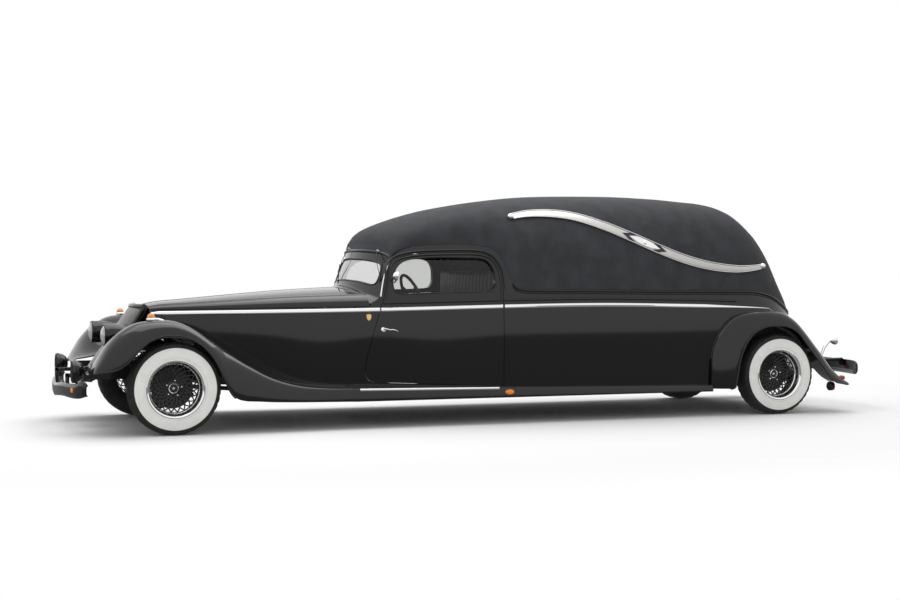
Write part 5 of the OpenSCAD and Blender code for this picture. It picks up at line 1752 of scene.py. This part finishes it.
# %% [markdown]
# ## Wheels
#
# The tyre carries a broad white wall and a blocked shoulder. The rim is a polished barrel
# round a dished mesh of crossed black spokes, with five bright nuts and a plain hub ring.

# %% Tyre and rim sections
TYRE_STEPS = 144
GROOVES = (-44, -16, 16, 44)
tyre_section = [(209.5, -84), (229, -96), (252, -101), (269, -102.5), (300, -100), (324, -93),
    (338, -84), (347, -66), (349.5, -58)]
for groove in GROOVES:
    tyre_section += [(349.8, groove - 4), (343, groove - 3), (343, groove + 3),
        (349.8, groove + 4)]
tyre_section += [(349.5, 58), (347, 66), (338, 84), (324, 92), (312, 96.5), (309, 98), (269, 101),
    (236, 98.5), (232, 97), (229, 96), (209.5, 84), (209.5, -84)]
WHITE_SECTION = [(221, 91), (224, 97.2), (230, 99), (235, 99.6), (237, 98.4), (240, 100.4),
    (247, 101.6), (268, 103.2), (288, 102.2), (304, 100.4), (309.5, 98.8), (311, 96.5), (269, 99),
    (221, 91)]
BARREL_SECTION = [(209, 80), (214, 87), (221, 92), (222, 97), (217, 99.5), (210, 98), (204, 93),
    (201, 86), (199, 78), (196, 62), (194, 50), (190, 40), (187, 38), (187, 24), (191, 10),
    (193, -60), (200, -80), (209, -84), (209, 80)]
SPOKES = 22
SPOKE_CROSS = math.radians(19)


def metres(section):
    return [(r * MM, d * MM) for r, d in section]


def make_wheel(place, x, side, body, tyre_node, rim_node):
    centre, axis = (x * MM, side * 0.820, 0.350), (0, side, 0)
    tyre = lathe(f"tyre_{place}", metres(tyre_section), centre, axis, RUBBER, body, TYRE_STEPS,
        sharp=30)
    for v in tyre.data.vertices:
        dx, dz = v.co.x - centre[0], v.co.z - centre[2]
        r, d = math.hypot(dx, dz), abs(v.co.y - centre[1])
        turn = round(math.atan2(dz, dx) / (2 * math.pi) * TYRE_STEPS)
        if 0.0465 < d < 0.090 and r > 0.335 and turn % 4 == 0:
            shrink = (r - 0.0055) / r
            v.co.x, v.co.z = centre[0] + dx * shrink, centre[2] + dz * shrink
    finish_as(tyre, "tyre_rubber", tyre_node)
    white = lathe(f"white_wall_{place}", metres(WHITE_SECTION), centre, axis, WHITEWALL, body, 96)
    finish_as(white, "tyre_rubber")
    barrel = lathe(f"rim_barrel_{place}", metres(BARREL_SECTION), centre, axis, CHROME, body, 96)
    finish_as(barrel, "rim_metal", rim_node)
    mesh_parts = []
    for k in range(SPOKES):
        for sign in (-1, 1):
            path = []
            for t in np.linspace(0, 1, 7):
                r = 0.056 + (0.187 - 0.056) * t
                w = 2 * math.pi * k / SPOKES + sign * SPOKE_CROSS * (t - 0.5) * 2
                d = -0.012 + 0.044 * t ** 1.4 + sign * 0.0022
                path.append((centre[0] + r * math.cos(w), centre[1] + side * d,
                    centre[2] + r * math.sin(w)))
            mesh_parts.append(tube("spoke", path, np.linspace(0.0074, 0.0056, 7), PLASTIC, body,
                6, up=(0, 1, 0)))
    mesh_parts.append(lathe("hub_disc", metres([(0, -3), (26, -4), (30, -9), (50, -9), (62, -12),
        (66, -18), (58, -34), (0, -34)]), centre, axis, PLASTIC, body, 48))
    mesh_parts.append(lathe("mesh_ring", metres([(180, 28), (186, 35), (189, 34), (189, 24),
        (182, 24), (180, 28)]), centre, axis, PLASTIC, body, 72))
    mesh_parts.append(lathe("brake_drum", metres([(0, -40), (136, -44), (154, -48), (158, -58),
        (158, -84), (0, -84)]), centre, axis, IRON, body, 48))
    finish_as(join(f"rim_mesh_{place}", mesh_parts), "rim_metal")
    bright = [lathe("hub_ring", metres([(28, -9), (30, 3), (34, 8), (38, 5), (41, -9), (28, -9)]),
        centre, axis, CHROME, body, 48), lathe("hub_centre",
        metres([(0, 3), (9, 2), (12, -3), (0, -4)]), centre, axis, BRUSHED, body, 36)]
    for k in range(5):
        w = 2 * math.pi * (k + 0.35) / 5
        spot = (centre[0] + 0.060 * math.cos(w), centre[1], centre[2] + 0.060 * math.sin(w))
        bright.append(lathe("lug_nut", metres([(0, 14), (5, 13), (9, 8), (10, -12), (0, -12)]),
            spot, axis, CHROME, body, 6, sharp=10))
    for k in range(SPOKES):
        w = 2 * math.pi * (k + 0.5) / SPOKES
        spot = (centre[0] + 0.1845 * math.cos(w), centre[1] + side * 0.034,
                centre[2] + 0.1845 * math.sin(w))
        bright.append(lathe("rim_stud", metres([(0, 4), (2.6, 3), (3.4, -1), (0, -1)]), spot,
            axis, BRUSHED, body, 8))
    finish_as(join(f"wheel_bright_parts_{place}", bright), "rim_metal")
    stem_turn = math.radians(110)
    stem = [(centre[0] + r * math.cos(stem_turn), centre[1] + side * d,
             centre[2] + r * math.sin(stem_turn))
            for r, d in ((0.192, 0.052), (0.184, 0.062), (0.176, 0.074))]
    finish_as(tube(f"valve_stem_{place}", stem, 0.004, PLASTIC, body, 8), "wheel_plastic")
    return tyre


for place, x, side in (("front_left", FRONT_AXLE, 1), ("front_right", FRONT_AXLE, -1),
        ("rear_left", REAR_AXLE, 1), ("rear_right", REAR_AXLE, -1)):
    tyre = make_wheel(place, x, side, f"wheel_{place}", f"tyre_{place}", f"rim_{place}")
print("tyre triangles:", 2 * len(tyre.data.polygons))

# %% [markdown]
# ## Cab and load space
#
# The seat is channelled leather over springs. A gathered curtain hangs behind it, and a
# wooden deck fills the load space. Little of this shows, but every window looks in on it.

# %% Seat
def seat_pad(name, low, high, pleat_axis, swell, channels):
    """A crowned, channelled cushion between two corners."""
    low, high = np.array(low, float), np.array(high, float)
    n_long, n_short = 97, 25
    centre, half = (low + high) / 2, (high - low) / 2
    thin = 2 if pleat_axis == "up" else 0
    flat = 0 if pleat_axis == "up" else 2
    faces_out, faces_in = [], []
    for i in np.linspace(-1, 1, n_long):
        row_out, row_in = [], []
        for j in np.linspace(-1, 1, n_short):
            crown = (1 - abs(i) ** 6) ** 0.5 * (1 - abs(j) ** 4) ** 0.5
            phase = (i * channels / 2) % 1
            channel = abs(math.sin(math.pi * phase)) ** 0.45
            pull = 1 - 0.035 * (1 - abs(i) ** 2) * abs(j) ** 3
            out = centre.copy()
            out[1] = centre[1] + half[1] * i * (1 - 0.012 * (1 - j * j))
            out[flat] = centre[flat] + half[flat] * j * pull
            back = out.copy()
            rise = half[thin] * (0.45 + 0.55 * crown) - swell * (1 - channel) * crown
            out[thin] = centre[thin] + rise
            back[thin] = centre[thin] - half[thin] * (0.7 + 0.3 * crown)
            row_out.append(out)
            row_in.append(back)
        faces_out.append(row_out)
        faces_in.append(row_in)
    piece = shell(name, np.array(faces_out), np.array(faces_in), LEATHER, "body", sharp=180)
    smooth = piece.modifiers.new("smooth", "SUBSURF")
    smooth.levels = smooth.render_levels = 1
    bpy.context.view_layer.objects.active = piece
    piece.select_set(True)
    bpy.ops.object.modifier_apply(modifier="smooth")
    piece.select_set(False)
    return piece


cushion = seat_pad("seat_cushion", (0.135, -0.632, 0.585), (0.640, 0.632, 0.790), "up", 0.012, 16)
finish_as(cushion, "seat_leather", "front_seat")
backrest = seat_pad("seat_backrest", (0.012, -0.632, 0.600), (0.124, 0.632, 1.248), "front",
    0.012, 16)
finish_as(backrest, "seat_leather")
seat_base = box("seat_base", (0.10, -0.62, 0.5155), (0.62, 0.62, 0.590), CARPET, "body", 0.01)
finish_as(seat_base, "floor_trim")


cords = []
for x, z in ((0.630, 0.735), (0.070, 1.238)):
    cords.append(tube("seat_welt", [(x, y, z) for y in np.linspace(-0.60, 0.60, 25)], 0.006,
        LEATHER, "body", 8))
finish_as(join("seat_welts", cords), "seat_leather")

# %% Curtain behind the seat
CURTAIN_HALF, CURTAIN_TOP, CURTAIN_FOOT = 0.565, 1.600, 1.085
FOLDS = 26


def curtain_path(t, z):
    """A gathered curtain's wavy line; the folds open a little toward the foot."""
    fall = (CURTAIN_TOP - z) / (CURTAIN_TOP - CURTAIN_FOOT)
    y = -CURTAIN_HALF + 2 * CURTAIN_HALF * t
    depth = (0.010 + 0.005 * fall) * (1 + 0.3 * np.sin(7.3 * t * 2 * np.pi / 3))
    sway = 0.35 * np.sin(5.1 * t + 2.0 * fall)
    x = at(2790) * MM + depth * np.sin(2 * np.pi * FOLDS * t + sway)
    return np.stack([x, y + 0 * z, z + 0 * y], -1)


fold_t, fold_z = np.meshgrid(np.linspace(0, 1, FOLDS * 12 + 1),
    np.linspace(CURTAIN_TOP, CURTAIN_FOOT, 16), indexing="ij")
cloth = curtain_path(fold_t, fold_z)
curtain = shell("cab_curtain", cloth, cloth - np.array([0.0016, 0, 0]), CURTAIN, "body",
    sharp=180)
finish_as(curtain, "partition_trim")
rod = tube("curtain_rod", [(at(2790) * MM, y, CURTAIN_TOP + 0.008) for y in np.linspace(-0.575,
    0.575, 12)], 0.008, BRUSHED, "body", 12)
finish_as(rod, "landau_steel")

# %% Dashboard and steering wheel
top = [(-0.56, 0.90), (0.56, 0.90), (0.56, 1.02), (0.54, 1.06), (0.42, 1.078), (0.30, 1.085),
       (-0.30, 1.085), (-0.42, 1.078), (-0.54, 1.06), (-0.56, 1.02)]
board_rows = []
for x, inset in ((0.888, 0.006), (0.893, 0.0), (0.970, 0.0), (0.976, 0.006)):
    board_rows.append([(x, y * (1 - inset / 0.56), z - inset * (z - 0.98) / 0.09) for y,
        z in top])
board_points = np.array(board_rows).reshape(-1, 3)
n = len(top)
board_faces = grid_faces(4, n, closed=True)
board_faces += [tuple(range(n)), tuple(range(4 * n - 1, 3 * n - 1, -1))]
board = fix_facing(make_object("dashboard_panel", board_points, board_faces, WOOD, "body"))
dials = []
for y in (0.28, 0.40, 0.52):
    dials.append(lathe("dial", [(0, 0.010), (0.036, 0.010), (0.042, 0.014), (0.046, 0.006),
        (0.046, -0.002), (0, -0.002)], (0.886, y - 0.03, 0.99), (-1, 0, 0), CHROME, "body", 32))
column = tube("steering_column", [(0.707 + 0.906 * s, 0.37, 1.03 - 0.423 * s) for s in (0.016,
    0.06, 0.12, 0.169)], 0.024, PLASTIC, "body", 20)
finish_as(board, "dash_trim", "dashboard")
finish_as(join("dashboard_dials", dials), "landau_steel")
finish_as(column, "dash_trim")

STEER_AT = np.array([0.707, 0.370, 1.030])
STEER_AXIS = np.array([-0.9063, 0, 0.4226])
across = np.array([0, 1.0, 0])
upward = np.cross(STEER_AXIS, across)
ring = [STEER_AT + 0.195 * (across * math.cos(w) + upward * math.sin(w))
        for w in np.linspace(0, 2 * math.pi, 96, endpoint=False)]
wheel_parts = [tube("steering_rim", ring, 0.0128, PLASTIC, "steering_wheel", 14, closed=True,
    up=tuple(STEER_AXIS))]
for w in (math.pi / 2, math.pi * 7 / 6, math.pi * 11 / 6):
    arm = across * math.cos(w) + upward * math.sin(w)
    for shift in (-0.008, 0.0, 0.008):
        off = np.cross(STEER_AXIS, arm) * shift
        wheel_parts.append(tube("steering_spoke",
            [STEER_AT + arm * r + off for r in (0.03, 0.1, 0.19)], 0.0035, PLASTIC,
            "steering_wheel", 8))
wheel_parts.append(lathe("steering_boss", [(0, 0.016), (0.026, 0.013), (0.040, 0.006),
    (0.045, -0.004), (0.040, -0.014), (0, -0.014)], STEER_AT, STEER_AXIS, PLASTIC,
    "steering_wheel", 40))
finish_as(join("steering_wheel_rim", wheel_parts), "wheel_plastic", "steering_wheel")

# %% Finishes of the frame's own parts
NODE_FINISH = {
    "chassis_frame": STEEL, "floor_pan": CARPET, "front_axle": STEEL, "rear_axle": STEEL,
    "knuckle_left": IRON, "knuckle_right": IRON, "engine": IRON, "exhaust": PIPE,
    "fuel_tank": STEEL, "load_deck": WOOD, "partition": CARPET}
for name, material in NODE_FINISH.items():
    node = frame["nodes"][name]
    node.data.materials.clear()
    node.data.materials.append(material)
shown = [n for n in frame["nodes"] if n not in NODE_FINISH and not frame["nodes"][n].hide_render]
print("frame parts still in the frame's own colours:", shown)

# %% [markdown]
# ## Floor and light
#
# Black paint needs big soft lights to mirror. One broad lamp hangs overhead, a little behind
# the car, so the shadow falls toward the viewer. The floor is lit near the car, where the
# shadow lies, and plain white further out, for the camera's own rays only. Polished paint
# mirrors the floor as a dim sheet, which darkens the lower part of each panel.

# %% Studio
LIT_REACH = (5.2, 3.4)
FADE_START, FADE_END = 0.80, 1.35
FLOOR_REACH = 90
MIRRORED_FLOOR = 0.25
ROOM_LIGHT, ROOM_SEEN = 0.75, 1.0


def make_studio():
    floor = bpy.data.meshes.new("studio_floor")
    corners = ((-1, -1), (1, -1), (1, 1), (-1, 1))
    floor.from_pydata([(x * FLOOR_REACH, y * FLOOR_REACH, 0) for x, y in corners], [],
        [(0, 1, 2, 3)])
    paper = bpy.data.materials.new("studio_paper")
    paper.use_nodes = True
    nodes, links = paper.node_tree.nodes, paper.node_tree.links
    shader = nodes["Principled BSDF"]
    shader.inputs["Roughness"].default_value = 1.0
    shader.inputs["Specular IOR Level"].default_value = 0.0
    shader.inputs["Base Color"].default_value = (0.90, 0.90, 0.90, 1)
    place = nodes.new("ShaderNodeTexCoord")
    shape = nodes.new("ShaderNodeMapping")
    shape.inputs["Scale"].default_value = (1 / LIT_REACH[0], 1 / LIT_REACH[1], 0)
    length = nodes.new("ShaderNodeVectorMath")
    length.operation = "LENGTH"
    fade = nodes.new("ShaderNodeMapRange")
    fade.interpolation_type = "SMOOTHSTEP"
    fade.inputs["From Min"].default_value = FADE_START
    fade.inputs["From Max"].default_value = FADE_END
    links.new(place.outputs["Object"], shape.inputs["Vector"])
    links.new(shape.outputs["Vector"], length.inputs[0])
    links.new(length.outputs["Value"], fade.inputs["Value"])
    path = nodes.new("ShaderNodeLightPath")
    seen = nodes.new("ShaderNodeMath")
    seen.operation = "MULTIPLY"
    links.new(fade.outputs["Result"], seen.inputs[0])
    links.new(path.outputs["Is Camera Ray"], seen.inputs[1])
    layer = shader.outputs[0]
    for factor, strength in ((seen.outputs[0], 1.0),
            (path.outputs["Is Glossy Ray"], MIRRORED_FLOOR)):
        glow = nodes.new("ShaderNodeEmission")
        glow.inputs["Strength"].default_value = strength
        mix = nodes.new("ShaderNodeMixShader")
        links.new(factor, mix.inputs[0])
        links.new(layer, mix.inputs[1])
        links.new(glow.outputs[0], mix.inputs[2])
        layer = mix.outputs[0]
    links.new(layer, nodes["Material Output"].inputs["Surface"])
    floor.materials.append(paper)
    piece = bpy.data.objects.new("studio_floor", floor)
    bpy.context.scene.collection.objects.link(piece)


def make_world():
    world = bpy.data.worlds.new("studio_world")
    bpy.context.scene.world = world
    world.use_nodes = True
    nodes, links = world.node_tree.nodes, world.node_tree.links
    background = nodes["Background"]
    background.inputs["Color"].default_value = (1, 1, 1, 1)
    path = nodes.new("ShaderNodeLightPath")
    seen = path.outputs["Is Camera Ray"]
    for ray in ("Is Transmission Ray", "Is Glossy Ray"):
        either = nodes.new("ShaderNodeMath")
        either.operation = "MAXIMUM"
        links.new(seen, either.inputs[0])
        links.new(path.outputs[ray], either.inputs[1])
        seen = either.outputs[0]
    mix = nodes.new("ShaderNodeMix")
    mix.inputs[2].default_value = ROOM_LIGHT
    mix.inputs[3].default_value = ROOM_SEEN
    links.new(seen, mix.inputs[0])
    links.new(mix.outputs[0], background.inputs["Strength"])


def area_lamp(name, place, target, size, power):
    data = bpy.data.lights.new(name, "AREA")
    data.shape = "RECTANGLE"
    data.size, data.size_y = size
    data.energy = power
    lamp = bpy.data.objects.new(name, data)
    lamp.location = place
    lamp.rotation_euler = (Vector(target) - Vector(place)).to_track_quat("-Z", "Y").to_euler()
    bpy.context.scene.collection.objects.link(lamp)


make_studio()
make_world()
area_lamp("overhead_softbox", (0.3, -0.9, 6.0), (0, 0.2, 0), (11, 5.0), 330)
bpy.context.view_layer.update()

# %% Import json
import json
